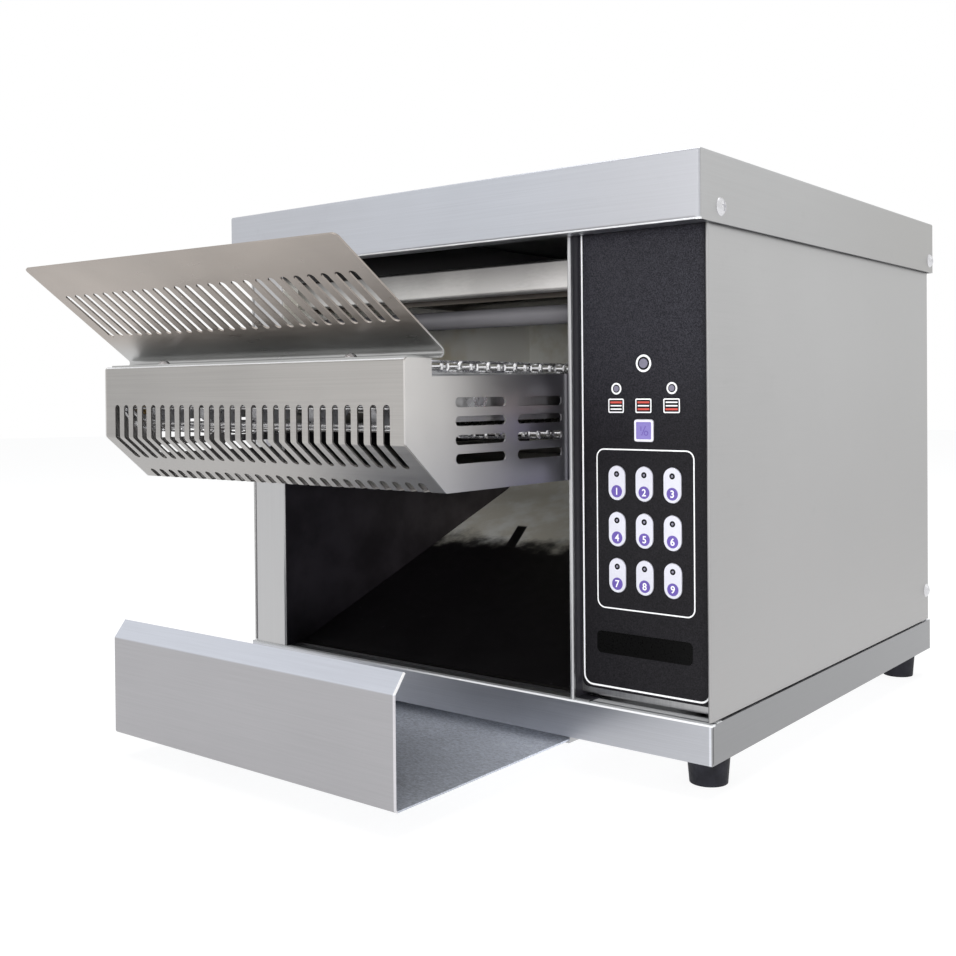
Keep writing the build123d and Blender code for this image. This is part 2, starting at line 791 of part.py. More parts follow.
def roller_shaft(y, right_end):
    """Shaft with thin journals at the rails and a thicker middle."""
    clear = bush_flange + 0.5
    shaft = rod_x(rail_left - sheet, right_end, y, axle_z, journal_radius)
    return shaft + rod_x(rail_left + clear, rail_right - clear, y, axle_z, journal_radius + 2)


def front_roller():
    roller = roller_shaft(front_axle_y, rail_right + sheet)
    radius = roller_radius - belt_rod_diameter / 2 - disc_gap
    for x in disc_places():
        roller += rod_x(x - disc_thickness / 2, x + disc_thickness / 2, front_axle_y, axle_z, radius)
    return roller


def drive_shaft():
    """Rear shaft with toothed wheels, running into the gearbox."""
    shaft = roller_shaft(rear_axle_y, divider_face + 18)
    tip = roller_radius - belt_rod_diameter / 2 - disc_gap
    root = tip - tooth_depth
    tooth = Polygon((root - 1, -4), (root - 1, 4), (tip - 0.4, 1.6), (tip - 0.4, -1.6), align=None)
    wheel = Circle(root) + [Rot(0, 0, 360 * i / sprocket_teeth) * tooth for i in range(sprocket_teeth)]
    for x in disc_places():
        blank = extrude(wheel, disc_thickness / 2, both=True)
        shaft += Pos(x, rear_axle_y, axle_z) * Rot(0, 90, 0) * blank
    return shaft


def tie_rods():
    """One rod between the rails in front, two studs right through the chamber walls."""
    ends = nut_height + 1
    reach = sheet + nut_height
    rods = [rod_x(rail_left - reach, rail_right + reach, tie_front_y, tie_z, tie_radius)]
    for y in (tie_mid_y, tie_rear_y):
        rods.append(rod_x(mouth_left - sheet - ends, divider_face + ends, y, tie_z, tie_radius))
    return rods


def tie_nuts():
    nuts = []
    bore = tie_radius + snug
    outer_left, outer_right = rail_left - sheet, rail_right + sheet
    pairs = [(outer_left - nut_height, outer_left), (outer_right, outer_right + nut_height)]
    for x0, x1 in pairs:
        nuts.append(hex_nut(x0, x1, tie_front_y, tie_z) - rod_x(x0, x1, tie_front_y, tie_z, bore))
    wall_left = mouth_left - sheet
    for y in (tie_mid_y, tie_rear_y):
        for x0, x1 in ((wall_left - nut_height, wall_left), (divider_face, divider_face + nut_height)):
            nuts.append(hex_nut(x0, x1, y, tie_z) - rod_x(x0, x1, y, tie_z, bore))
    return nuts


def rail_spacers():
    """Sleeves on the studs that hold the rails off the chamber walls."""
    sleeves = []
    for y in (tie_mid_y, tie_rear_y):
        for x0, x1 in ((mouth_left, rail_left - sheet), (rail_right + sheet, divider_face - sheet)):
            sleeve = rod_x(x0, x1, y, tie_z, tie_radius + 2)
            sleeves.append(sleeve - rod_x(x0, x1, y, tie_z, tie_radius + snug))
    return sleeves


def belt_support_bars():
    """Upright strips under the upper run, standing on the tie rods."""
    low = tie_z + tie_radius
    high = axle_z + roller_radius - belt_rod_diameter / 2 - near
    bars = []
    for side in (-1, 1):
        x = lane_centre + side * support_bar_spread / 2
        x0, x1 = x - support_bar_thickness / 2, x + support_bar_thickness / 2
        bars.append(block(x0, x1, tie_front_y - 8, tie_rear_y + 3, low, high))
    return bars


# ---------------------------------------------------------------- toasting chamber
def chamber_width():
    """Left and right ends of the sheets that hang between the chamber walls."""
    return mouth_left, divider_face - sheet


def toast_slide():
    """Inclined slide: its lip lies on the base, and it turns up into the rear guide."""
    lip_z = base_top + half
    foot_y = slide_lip_y + slide_lip_length
    corner_z = lip_z + (guide_y - foot_y) * math.tan(math.radians(slide_angle))
    points = [(slide_lip_y, lip_z), (foot_y, lip_z), (guide_y, corner_z), (guide_y, guide_top)]
    left, _ = chamber_width()
    return sheet_along_x(points, left, mouth_right, [bend, slide_bend_radius])


def conveyor_pan():
    """Closes the conveyor from below, with turned-up sides and rear lip."""
    left = mouth_left
    right = feed_right - sheet
    z = feed_bottom + half
    points = [(left + half, z + pan_lip), (left + half, z), (right - half, z), (right - half, z + pan_lip)]
    rear = rear_axle_y - pan_rear_inset
    pan = sheet_along_y(points, body_front - sheet, rear)
    return pan + block(left + 2, right - 2, rear - sheet, rear, feed_bottom, z + pan_lip)


def lower_reflector():
    """Trough under the lower heaters, between the rails."""
    z = rail_bottom + 2.5
    points = [
        (rail_left + half, z + 6),
        (rail_left + half, z),
        (rail_right - half, z),
        (rail_right - half, z + 6),
    ]
    trough = sheet_along_y(points, body_front + 10, rear_axle_y - roller_radius - 8)
    for y, heater_z in lower_heaters_at:
        bore = lower_heater_radius + heater_hole_gap
        trough -= rod_x(rail_left - 1, rail_right + 1, y, heater_z, bore)
    for y in (tie_mid_y, tie_rear_y):
        trough -= rod_x(rail_left - 1, rail_right + 1, y, tie_z, tie_radius + near)
    return trough


def upper_front_panel():
    """Channel across the mouth above the bread."""
    points = [
        (upper_panel_y + 8, upper_panel_bottom + half),
        (upper_panel_y + half, upper_panel_bottom + half),
        (upper_panel_y + half, upper_panel_top - half),
        (upper_panel_y + panel_flange, upper_panel_top - half),
    ]
    return sheet_along_x(points, *chamber_width())


def upper_reflector():
    """Roof of the chamber up to the rear guide, with a turned-down front edge."""
    left, right = chamber_width()
    points = [
        (left + half, reflector_z + pan_lip),
        (left + half, reflector_z),
        (right - half, reflector_z),
        (right - half, reflector_z + pan_lip),
    ]
    front = body_front + reflector_lip_setback
    roof = sheet_along_y(points, front, guide_y - half)
    lip_bottom = reflector_z - reflector_lip
    return roof + block(left + bend, right - bend, front, front + sheet, lip_bottom, reflector_z)


def heater(y, z, radius):
    reach = heater_cap_length - heater_cap_wall - near
    return rod_x(mouth_left - sheet - reach, divider_face + reach, y, z, radius)


def heater_caps(y, z, radius):
    """Ceramic holders on the outside of both chamber walls."""
    caps = []
    for face, out in ((mouth_left - sheet, -1), (divider_face, 1)):
        cap = rod_x(face, face + out * heater_cap_length, y, z, radius + heater_cap_wall)
        cap -= rod_x(face, face + out * (heater_cap_length - heater_cap_wall), y, z, radius + snug)
        caps.append(cap)
    return caps


# ---------------------------------------------------------------- toast tray
def toast_tray():
    points = [
        (tray_lip_y, tray_lip_z),
        (tray_front + half, tray_fold_z),
        (tray_front + half, tray_bottom + half),
        (tray_front + tray_depth, tray_bottom + half),
    ]
    return sheet_along_x(points, tray_left, tray_right)


def tray_runner(side):
    """Channel under the base that carries one edge of the tray."""
    web = (tray_right + near + half) if side > 0 else (tray_left - near - half)
    low = tray_bottom - near - half
    points = [
        (web - side * (tray_lip_grip + half), low),
        (web, low),
        (web, foot_height - half),
        (web - side * runner_flange, foot_height - half),
    ]
    return sheet_along_y(points, base_front + 10, base_rear - 10, 0.6)


# ---------------------------------------------------------------- controls
def key_grid():
    """Number, x and z of the nine speed keys, 1 to 3 along the top."""
    places = []
    for row in range(3):
        for column in range(3):
            x = key_centre_x + (column - 1) * key_pitch_x
            places.append((3 * row + column + 1, x, key_top_z - row * key_pitch_z))
    return places


def mode_grid():
    names = ("key_mode_top", "key_mode_both", "key_mode_bottom")
    return [(names[i], key_centre_x + (i - 1) * key_pitch_x, mode_key_z) for i in range(3)]


def key_window(outline):
    """The hole in overlay and plate for a key of this outline."""
    face = offset(outline, near, kind=Kind.ARC)
    return extrude(Plane.XZ.offset(-control_back - 1) * face, sheet + overlay_thickness + 4)


def key_body(outline):
    """A key: its face stands proud, and a flange behind the plate keeps it in."""
    front = control_y - key_proud
    stem = extrude(Plane.XZ.offset(-key_back) * outline, key_depth)
    flange = offset(outline, key_flange, kind=Kind.ARC)
    back = control_back + near
    return stem + extrude(Plane.XZ.offset(-back - key_flange_thickness) * flange, key_flange_thickness)


def pill_outline():
    return SlotOverall(key_height, key_width, rotation=90)


def power_outline():
    return RectangleRounded(power_key_size, power_key_size, 1.2)


def mode_outline():
    return RectangleRounded(mode_key_width, mode_key_height, 0.8)


def all_keys():
    """Name, outline and place of every key."""
    keys = [(f"key_{number}", pill_outline(), x, z) for number, x, z in key_grid()]
    keys.append(("key_power", power_outline(), key_centre_x, power_key_z))
    keys += [(name, mode_outline(), x, z) for name, x, z in mode_grid()]
    return keys


def lamps():
    """Indicator lamps: x, z and radius."""
    side = key_pitch_x
    return [
        (key_centre_x, lamp_z, lamp_radius),
        (key_centre_x - side, small_lamp_z, small_lamp_radius),
        (key_centre_x + side, small_lamp_z, small_lamp_radius),
    ]


def control_cuts():
    cuts = [Pos(x, 0, z) * key_window(outline) for _, outline, x, z in all_keys()]
    cuts += [rod_y(x, control_y - 2, control_back + 2, z, radius + snug) for x, z, radius in lamps()]
    return cuts


def control_plate():
    """Steel plate that carries the keys, folded back along its bottom."""
    y = control_back - half
    points = [(y + panel_flange, control_bottom + half), (y, control_bottom + half), (y, control_top)]
    plate = sheet_along_x(points, divider_face, control_right, control_fold_radius)
    return plate - control_cuts() - screw_hole(front_cover_screws_at[0])


def control_overlay():
    left = divider_face + overlay_edge
    right = control_right - overlay_edge
    height = control_top - overlay_bottom
    outline = RectangleRounded(right - left, height, overlay_corner)
    centre = Pos((left + right) / 2, 0, overlay_bottom + height / 2)
    skin = centre * extrude(Plane.XZ.offset(-control_y - overlay_thickness) * outline, overlay_thickness)
    return skin - control_cuts()


def lamp_lenses():
    lenses = []
    for x, z, radius in lamps():
        lenses.append(rod_y(x, control_y - 0.3, board_front, z, radius))
    return lenses


def keypad_board():
    """Circuit board with a push switch behind every key, on four pillars."""
    reach = key_pitch_x + keypad_margin
    x0, x1 = key_centre_x - reach, key_centre_x + reach
    z0, z1 = key_bottom_z - 22, lamp_z + 14
    board = block(x0, x1, board_front, board_front + board_thickness, z0, z1)
    for _, _, x, z in all_keys():
        board += rod_y(x, board_front - switch_height, board_front, z, switch_radius)
    for x in (x0 + 4, x1 - 4):
        for z in (z0 + 5, z1 - 5):
            board += rod_y(x, control_back, board_front, z, 2.5)
    return board


# ---------------------------------------------------------------- drive and supply
def gear_motor():
    """Gearbox bolted to the divider in line with the rear shaft, with its motor."""
    half_size = gearbox_size / 2
    right = divider_face + gearbox_width
    low_z, high_z = axle_z - half_size, axle_z + half_size
    box = block(divider_face, right, rear_axle_y - half_size, rear_axle_y + half_size, low_z, high_z)
    box = fillet(box.edges().filter_by(Axis.X), 6)
    motor = rod_x(right, right + motor_length, rear_axle_y, axle_z, motor_radius)
    bore = rod_x(divider_face, divider_face + 19, rear_axle_y, axle_z, journal_radius + snug)
    return box + motor - bore


def power_board():
    """Supply board with its transformer and relays, on pillars from the divider."""
    face = divider_face + board_stand_off
    front, rear = supply_board_y, supply_board_y + supply_board_length
    low, high = supply_board_z, supply_board_z + supply_board_height
    board = block(face, face + board_thickness, front, rear, low, high)
    for y in (front + pillar_inset, rear - pillar_inset):
        for z in (low + pillar_inset, high - pillar_inset):
            board += rod_x(divider_face, face, y, z, 3)
    outer = face + board_thickness
    out, along, up = transformer_size
    board += block(outer, outer + out, front + 10, front + 10 + along, low + 10, low + 10 + up)
    out, along, up = relay_size
    for i in range(3):
        y = front + 60 + relay_pitch * i
        board += block(outer, outer + out, y, y + along, low + 15, low + 15 + up)
    return board


def terminal_block():
    """Mains terminals on the base floor, next to the cord's gland."""
    floor = foot_height + sheet
    block_body = block(terminal_x - 24, terminal_x + 24, wall_rear - 50, wall_rear - 28, floor, floor + 18)
    for i in range(4):
        x = terminal_x - 18 + 12 * i
        block_body -= rod_z(x, wall_rear - 39, floor + 8, floor + 18, 3)
    return block_body


def cord_gland():
    """Strain relief for the supply cord, left empty."""
    thread = rod_y(gland_x, wall_rear - 10, body_rear, gland_z, gland_bore_radius + 3)
    collar = rod_y(gland_x, body_rear, body_rear + 5, gland_z, gland_bore_radius + 6)
    lock_nut = rod_y(gland_x, wall_rear - 6, wall_rear, gland_z, gland_bore_radius + 6)
    cap = rod_y(gland_x, body_rear + 5, body_rear + 15, gland_z, gland_bore_radius + 4)
    cap = chamfer(cap.faces().sort_by(Axis.Y)[-1].edges(), 2)
    bore = rod_y(gland_x, wall_rear - 20, body_rear + 20, gland_z, gland_bore_radius)
    return thread + collar + lock_nut + cap - bore


# ---------------------------------------------------------------- assembly
def build_all():
    parts["base_pan"] = [base_pan()]
    parts["rubber_feet"] = [rubber_foot(x, y) for x, y in feet_at]
    parts["foot_screws"] = [foot_screw(x, y) for x, y in feet_at]
    parts["foot_nuts"] = [foot_nut(x, y) for x, y in feet_at]
    parts["left_side_panel"] = [side_panel(-1)]
    parts["right_side_panel"] = [side_panel(1)]
    parts["rear_panel"] = [rear_panel()]
    parts["top_cover"] = [top_cover()]
    parts["cover_screws"] = [place * truss_screw() for place in cover_screws_at]
    parts["rear_panel_screws"] = [place * truss_screw() for place in rear_screws_at]
    parts["left_inner_panel"] = [left_inner_panel() - wall_holes()]
    parts["divider_wall"] = [divider_wall() - wall_holes()]
    parts["feed_front_cover"] = [feed_front_cover()]
    parts["feed_side_left"] = [feed_side(-1)]
    parts["feed_side_right"] = [feed_side(1)]
    parts["bread_flap"] = [bread_flap()]
    parts["flap_screws"] = [place * truss_screw(flap_screw_head_radius) for place in flap_screws_at]
    parts["wire_belt"] = wire_belt()
    parts["conveyor_rail_left"] = [conveyor_rail(-1)]
    parts["conveyor_rail_right"] = [conveyor_rail(1)]
    parts["roller_bushes"] = [bush(side, y) for side in (-1, 1) for y in axle_ys]
    parts["front_roller"] = [front_roller()]
    parts["drive_shaft"] = [drive_shaft()]
    parts["tie_rods"] = tie_rods()
    parts["tie_nuts"] = tie_nuts()
    parts["rail_spacers"] = rail_spacers()
    parts["belt_support_bars"] = belt_support_bars()
    parts["toast_slide"] = [toast_slide()]
    parts["conveyor_pan"] = [conveyor_pan()]
    parts["lower_reflector"] = [lower_reflector()]
    parts["upper_front_panel"] = [upper_front_panel()]
    parts["upper_reflector"] = [upper_reflector()]
    parts["upper_heaters"] = [heater(y, z, upper_heater_radius) for y, z in upper_heaters_at]
    parts["lower_heaters"] = [heater(y, z, lower_heater_radius) for y, z in lower_heaters_at]
    caps = [heater_caps(y, z, upper_heater_radius) for y, z in upper_heaters_at]
    caps += [heater_caps(y, z, lower_heater_radius) for y, z in lower_heaters_at]
    parts["heater_caps"] = [cap for pair in caps for cap in pair]
    parts["toast_tray"] = [toast_tray()]
    parts["tray_runner_left"] = [tray_runner(-1)]
    parts["tray_runner_right"] = [tray_runner(1)]
    parts["control_plate"] = [control_plate()]
    parts["control_overlay"] = [control_overlay()]
    parts["lamp_lenses"] = lamp_lenses()
    parts["keypad_board"] = [keypad_board()]
    parts["gear_motor"] = [gear_motor()]
    parts["power_board"] = [power_board()]
    parts["terminal_block"] = [terminal_block()]
    parts["cord_gland"] = [cord_gland()]
    for name, outline, x, z in all_keys():
        parts[name] = [Pos(x, 0, z) * key_body(outline)]


def write_all():
    """Moves every part so that the origin is under the middle, and writes it."""
    solids = {name: [s for piece in pieces for s in piece.solids()] for name, pieces in parts.items()}
    whole = Compound([s for group in solids.values() for s in group]).bounding_box()
    shift = Pos(-whole.center().X, -whole.center().Y, -whole.min.Z)
    print("origin moved by", shift.position, "size", whole.size)
    os.makedirs("parts", exist_ok=True)
    for name, group in solids.items():
        export_step(shift * Compound(group, label=name), f"parts/{name}.step")


build_all()
write_all()
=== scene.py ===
import math

import bmesh
import bpy
from mathutils import Matrix, Vector

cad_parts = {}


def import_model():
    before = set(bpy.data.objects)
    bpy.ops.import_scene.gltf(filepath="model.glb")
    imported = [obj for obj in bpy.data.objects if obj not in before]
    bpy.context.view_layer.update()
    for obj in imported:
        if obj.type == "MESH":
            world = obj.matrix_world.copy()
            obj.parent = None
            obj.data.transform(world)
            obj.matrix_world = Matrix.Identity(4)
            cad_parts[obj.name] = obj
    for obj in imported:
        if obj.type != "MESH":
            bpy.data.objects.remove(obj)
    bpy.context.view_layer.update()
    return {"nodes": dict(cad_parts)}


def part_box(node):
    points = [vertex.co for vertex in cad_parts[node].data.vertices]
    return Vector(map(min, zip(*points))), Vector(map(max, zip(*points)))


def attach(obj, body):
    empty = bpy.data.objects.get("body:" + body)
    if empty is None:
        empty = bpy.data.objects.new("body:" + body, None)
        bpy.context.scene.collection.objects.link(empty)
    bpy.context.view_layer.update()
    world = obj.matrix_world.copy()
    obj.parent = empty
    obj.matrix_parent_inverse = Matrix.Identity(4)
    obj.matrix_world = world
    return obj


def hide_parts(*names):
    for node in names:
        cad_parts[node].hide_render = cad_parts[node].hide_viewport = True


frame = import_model()

# Millimetres count from the middle of the body (x = 0), the front face of the top cover
# (y = 0) and the table (z = 0). The row frame's origin lies FRAME_BACK behind that face.
MM = 0.001
FRAME_BACK = -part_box("top_cover")[0].y / MM


def span(node):
    """A node's lowest and highest corners at rest, in these millimetres."""
    return [corner / MM + Vector((0, FRAME_BACK, 0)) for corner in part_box(node)]


def middle(node):
    low, high = span(node)
    return (low + high) / 2


def spot(x, y, z):
    """A point given in these millimetres, in the metres of the row frame."""
    return Vector((x * MM, (y - FRAME_BACK) * MM, z * MM))


def along(y):
    """A place along the depth in metres, from millimetres behind the cover's front."""
    return spot(0, y, 0).y


# The belt's rods turn on this radius round the two shafts.
BELT_TURN_RADIUS = 16.0
BELT_LOW, BELT_HIGH = span("wire_belt")
BELT_WIDTH = BELT_HIGH.x - BELT_LOW.x
BELT_CENTRE = middle("wire_belt").x
BELT_SAG = 6.0
BELT_PITCH = 12.0
FRONT_AXLE_Y = middle("front_roller").y
REAR_AXLE_Y = middle("drive_shaft").y
AXLE_Z = middle("front_roller").z
ROD_RADIUS = 0.9
ROD_END_INSET = 0.5
LINK_INSET = 0.8
LINK_THICKNESS = 1.6
LINK_GAP = 0.2
LINK_WIRE = 0.85
LINK_HEIGHT = 6.6
LINK_OVERHANG = 3.2

# The flap turns up at its fold and is twisted a little along it.
FLAP_FOLD_Y = -96.2
FLAP_ANGLE = math.radians(35.4)
FLAP_TWIST = math.radians(1.15)

OVERLAY_LOW, OVERLAY_HIGH = span("control_overlay")
CONTROL_Y = OVERLAY_LOW.y
KEY_FACE_Y = span("key_5")[0].y
KEY_X = middle("key_5").x
KEY_PITCH_X = middle("key_6").x - KEY_X
KEY_PITCH_Z = middle("key_2").z - middle("key_5").z
KEY_MIDDLE_Z = middle("key_5").z
MODE_Z = middle("key_mode_both").z
POWER_Z = middle("key_power").z
MODES = ("top", "both", "bottom")

# Prints stand this far proud of their face; a print on a print stands higher.
PRINT_HEIGHT = 0.06
OVERPRINT_HEIGHT = 0.10
PLATE_HEIGHT = 0.12
PRINT_SINK = 0.02
DIGIT_SIZE = 5.6
DIGIT_BOLDNESS = 0.10

# Places in metres where a look changes at a fold or an edge, and how wide the change is.
BASE_TOP = span("base_pan")[1].z * MM
BASE_SIDE = 0.1808
BASE_RIM_SIDE = 0.1822
COVER_SKIRT = 0.1848
COVER_LIP = 0.3072
FEED_LIP = 0.2345
DIVIDER_RIGHT = 0.0945
TRAY_RIGHT = span("toast_tray")[1].x * MM
TRAY_FOLD = 0.0717
TRAY_FLOOR = 0.0156
CHANGE_WIDTH = 0.0004


def scaled(colour, amount):
    return tuple(channel * amount for channel in colour)


# ------------------------------------------------------------------ node helpers
# The sockets of a Mix node that mixes colours.
MIX_FIRST, MIX_SECOND, MIX_RESULT = 6, 7, 2


class Nodes:
    """Builds one material's nodes."""

    def __init__(self, name):
        self.material = bpy.data.materials.new(name)
        self.material.use_nodes = True
        self.tree = self.material.node_tree
        self.shader = self.tree.nodes["Principled BSDF"]
        self.place = self.tree.nodes.new("ShaderNodeTexCoord").outputs["Object"]

    def link(self, source, target):
        self.tree.links.new(source, target)

    def noise(self, cells, detail=3.0, rough=0.55, offset=(0, 0, 0)):
        """Noise by its cells per metre: one number, or one for each of X, Y and Z."""
        if isinstance(cells, (int, float)):
            cells = (cells, cells, cells)
        mapping = self.tree.nodes.new("ShaderNodeMapping")
        mapping.inputs["Scale"].default_value = cells
        mapping.inputs["Location"].default_value = offset
        self.link(self.place, mapping.inputs["Vector"])
        node = self.tree.nodes.new("ShaderNodeTexNoise")
        node.inputs["Scale"].default_value = 1.0
        node.inputs["Detail"].default_value = detail
        node.inputs["Roughness"].default_value = rough
        self.link(mapping.outputs["Vector"], node.inputs["Vector"])
        return node.outputs["Fac"]

    def spread(self, value, low, high, out_low=0.0, out_high=1.0, smooth=False):
        """Maps low to out_low and high to out_high, and holds both beyond them."""
        node = self.tree.nodes.new("ShaderNodeMapRange")
        node.inputs["From Min"].default_value = low
        node.inputs["From Max"].default_value = high
        node.inputs["To Min"].default_value = out_low
        node.inputs["To Max"].default_value = out_high
        if smooth:
            node.interpolation_type = "SMOOTHSTEP"
        self.link(value, node.inputs["Value"])
        return node.outputs["Result"]

    def ranged(self, noise, low=0.0, high=1.0):
        """Stretches noise, which lies mostly between 0.3 and 0.7, over a range."""
        return self.spread(noise, 0.3, 0.7, low, high)

    def math(self, kind, *values):
        """Each value is a number or another node's output."""
        node = self.tree.nodes.new("ShaderNodeMath")
        node.operation = kind
        for socket, value in zip(node.inputs, values):
            if isinstance(value, (int, float)):
                socket.default_value = value
            else:
                self.link(value, socket)
        return node.outputs["Value"]

    def axis(self, which):
        node = self.tree.nodes.new("ShaderNodeSeparateXYZ")
        self.link(self.place, node.inputs["Vector"])
        return node.outputs[which]

    def past(self, which, start, end, smooth=False):
        """0 before the start and 1 past the end, along one axis."""
        return self.spread(self.axis(which), start, end, smooth=smooth)

    def mix(self, factor, first, second, blend="MIX"):
        """Mixes two colours; each is a tuple or another node's colour."""
        node = self.tree.nodes.new("ShaderNodeMix")
        node.data_type = "RGBA"
        node.blend_type = blend
        self.link(factor, node.inputs["Factor"])
        for socket, value in ((node.inputs[MIX_FIRST], first), (node.inputs[MIX_SECOND], second)):
            if isinstance(value, tuple):
                socket.default_value = (*value, 1.0)
            else:
                self.link(value, socket)
        return node.outputs[MIX_RESULT]

    def multiply(self, factor, colour, tint):
        """Multiplies a colour by a tint as far as the factor goes."""
        return self.mix(factor, colour, tint, "MULTIPLY")

    def toned(self, shade, colour):
        """The colour, darker or lighter by a shade from -0.2 to 0.2."""
        return self.mix(self.spread(shade, -0.2, 0.2), scaled(colour, 0.8), scaled(colour, 1.2))

    def bump(self, height, strength, distance):
        node = self.tree.nodes.new("ShaderNodeBump")
        node.inputs["Strength"].default_value = strength
        node.inputs["Distance"].default_value = distance
        self.link(height, node.inputs["Height"])
        self.drive("Normal", node.outputs["Normal"])

    def drive(self, socket, value):
        """Feeds one of the shader's sockets from a node."""
        self.link(value, self.shader.inputs[socket])

    def set(self, socket, value):
        """Gives one of the shader's sockets a value that is the same all over."""
        self.shader.inputs[socket].default_value = value


# ------------------------------------------------------------------ materials
# The matt pale colour of painted edge highlights.
HIGHLIGHT_WHITE = (0.80, 0.81, 0.82)


def brushed_steel(
    name,
    colour,
    grain=(14, 14, 1500),
    roughness=0.34,
    cloud=0.06,
    streak=0.07,
    painted_shading=(),
    painted_highlights=(),
):
    """Satin stainless: fine streaks across the grain, soft clouds and a few faint rub marks.

    Each fade is painted shade or painted highlight: an axis, two places along it
    and the tint that is reached past the second.
    The strips of painted edge highlight are matt and pale: each lies past all of its places,
    an axis, start and end.
    """
    n = Nodes(name)
    streaks = n.noise(grain, 2.0)
    clouds = n.noise(9, 3.0, 0.6, (3, 1, 7))
    marks = n.noise(60, 4.0, 0.7, (11, 5, 2))
    shade = n.math("ADD", n.ranged(streaks, -streak, streak), n.ranged(clouds, -cloud, cloud))
    shade = n.math("ADD", shade, n.spread(marks, 0.62, 0.8, 0.0, -0.04))
    steel = n.toned(shade, colour)
    # Painted shade and painted highlight: past each place the sheet darkens or lightens as light falls
    # on it.
    for which, start, end, tint in painted_shading:
        steel = n.multiply(n.past(which, start, end, smooth=True), steel, tint)
    # Painted highlight: matt pale strips along folds and edges, where the steel loses its metal shine.
    if painted_highlights:
        edge = 0.0
        for places in painted_highlights:
            inside = 1.0
            for which, start, end in places:
                inside = n.math("MULTIPLY", n.past(which, start, end), inside)
            edge = n.math("MAXIMUM", inside, edge)
        steel = n.mix(edge, steel, HIGHLIGHT_WHITE)
        n.drive("Metallic", n.math("SUBTRACT", 1.0, edge))
    else:
        n.set("Metallic", 1.0)
    n.drive("Base Color", steel)
    rough = n.math("ADD", n.ranged(streaks, -0.04, 0.05), n.ranged(clouds, -0.03, 0.03))
    n.drive("Roughness", n.math("ADD", rough, roughness))
    n.bump(streaks, 0.06, 0.0002)
    return n.material


def tray_steel(name, colour, floor_colour):
    """Satin sheet with a painted highlight on its lip and right rim; its floor is mottled by crumbs and
    wiping, and painted lighter towards the body.
    """
    n = Nodes(name)
    streaks = n.noise((18, 18, 1300), 2.0)
    clouds = n.noise(9, 3.0, 0.6, (3, 1, 7))
    specks = n.noise((500, 900, 500), 3.0, 0.7, (2, 9, 4))
    shade = n.math("ADD", n.ranged(streaks, -0.03, 0.03), n.ranged(clouds, -0.02, 0.02))
    walls = n.toned(shade, colour)
    # Painted highlight: the lip above the fold and the right rim are lightened.
    lip = n.past("Z", TRAY_FOLD - CHANGE_WIDTH, TRAY_FOLD + CHANGE_WIDTH)
    walls = n.multiply(lip, walls, (1.50, 1.58, 1.68))
    rim = n.past("X", TRAY_RIGHT - 0.0010, TRAY_RIGHT - 0.0008)
    walls = n.multiply(rim, walls, (1.7, 1.7, 1.7))
    mottle = n.math("ADD", n.ranged(specks, 0.0, 0.7), n.ranged(clouds, 0.0, 0.3))
    floor_crumbs_and_light = n.mix(mottle, scaled(floor_colour, 0.52), scaled(floor_colour, 1.48))
    # Painted light: the crumb-mottled floor made lighter towards the body, where it lies in shade.
    floor_crumbs_and_light = n.multiply(n.past("Y", along(-90), along(-10)), floor_crumbs_and_light, (1.6, 1.6, 1.6))
    low = n.past("Z", TRAY_FLOOR + 0.0012, TRAY_FLOOR)
    behind_front = n.past("Y", along(-123.0), along(-122.6))
    off_floor = n.math("SUBTRACT", 1.0, n.math("MULTIPLY", low, behind_front))
    n.drive("Base Color", n.mix(off_floor, floor_crumbs_and_light, walls))
    n.drive("Metallic", n.spread(off_floor, 0.0, 1.0, 0.35, 1.0))
    n.drive("Roughness", n.spread(off_floor, 0.0, 1.0, 0.55, 0.38))
    n.bump(specks, 0.10, 0.0002)
    return n.material


def slide_steel(name, colour):
    """The return slide: painted near-black along its lower half as a reflection of the belt's dark
    underside, pale and scorched higher up, with a painted dark streak as a rail's reflection.
    """
    n = Nodes(name)
    wander = n.noise(40, 4.0, 0.65)
    edge = n.math("ADD", n.axis("Y"), n.ranged(wander, -0.010, 0.010))
    # Painted reflection: below this wandering edge the slide is near-black, standing for the dark
    # underside mirrored in it.
    above_dark_reflection = n.spread(edge, 0.072, 0.098, smooth=True)
    scorch = n.spread(n.noise(22, 4.0, 0.6, (4, 9, 1)), 0.42, 0.62, smooth=True)
    flecks = n.spread(n.noise(240, 2.0, 0.5, (8, 2, 5)), 0.72, 0.78)
    dark = n.mix(flecks, (0.0045, 0.004, 0.0048), (0.06, 0.06, 0.06))
    # The painted dark streak, a rail's reflection, runs aslant, this many metres to the left for each
    # metre to the rear.
    slant = 0.367
    streak_middle = -0.0875 + slant * along(211.5)
    across = n.math("ADD", n.axis("X"), n.math("MULTIPLY", n.axis("Y"), slant))
    aside = n.math("ABSOLUTE", n.math("SUBTRACT", across, streak_middle))
    in_streak = n.spread(aside, 0.0052, 0.0042)
    before_end = n.past("Y", along(214), along(212))
    streak_reflection = n.math("MULTIPLY", in_streak, before_end)
    pale = n.mix(scorch, (0.76, 0.73, 0.64), colour)
    pale = n.mix(streak_reflection, pale, (0.005, 0.0045, 0.005))
    n.drive("Base Color", n.mix(above_dark_reflection, dark, pale))
    n.drive("Roughness", n.ranged(wander, 0.36, 0.50))
    n.drive("Metallic", n.spread(above_dark_reflection, 0.0, 1.0, 0.05, 0.25))
    n.bump(wander, 0.08, 0.0004)
    return n.material


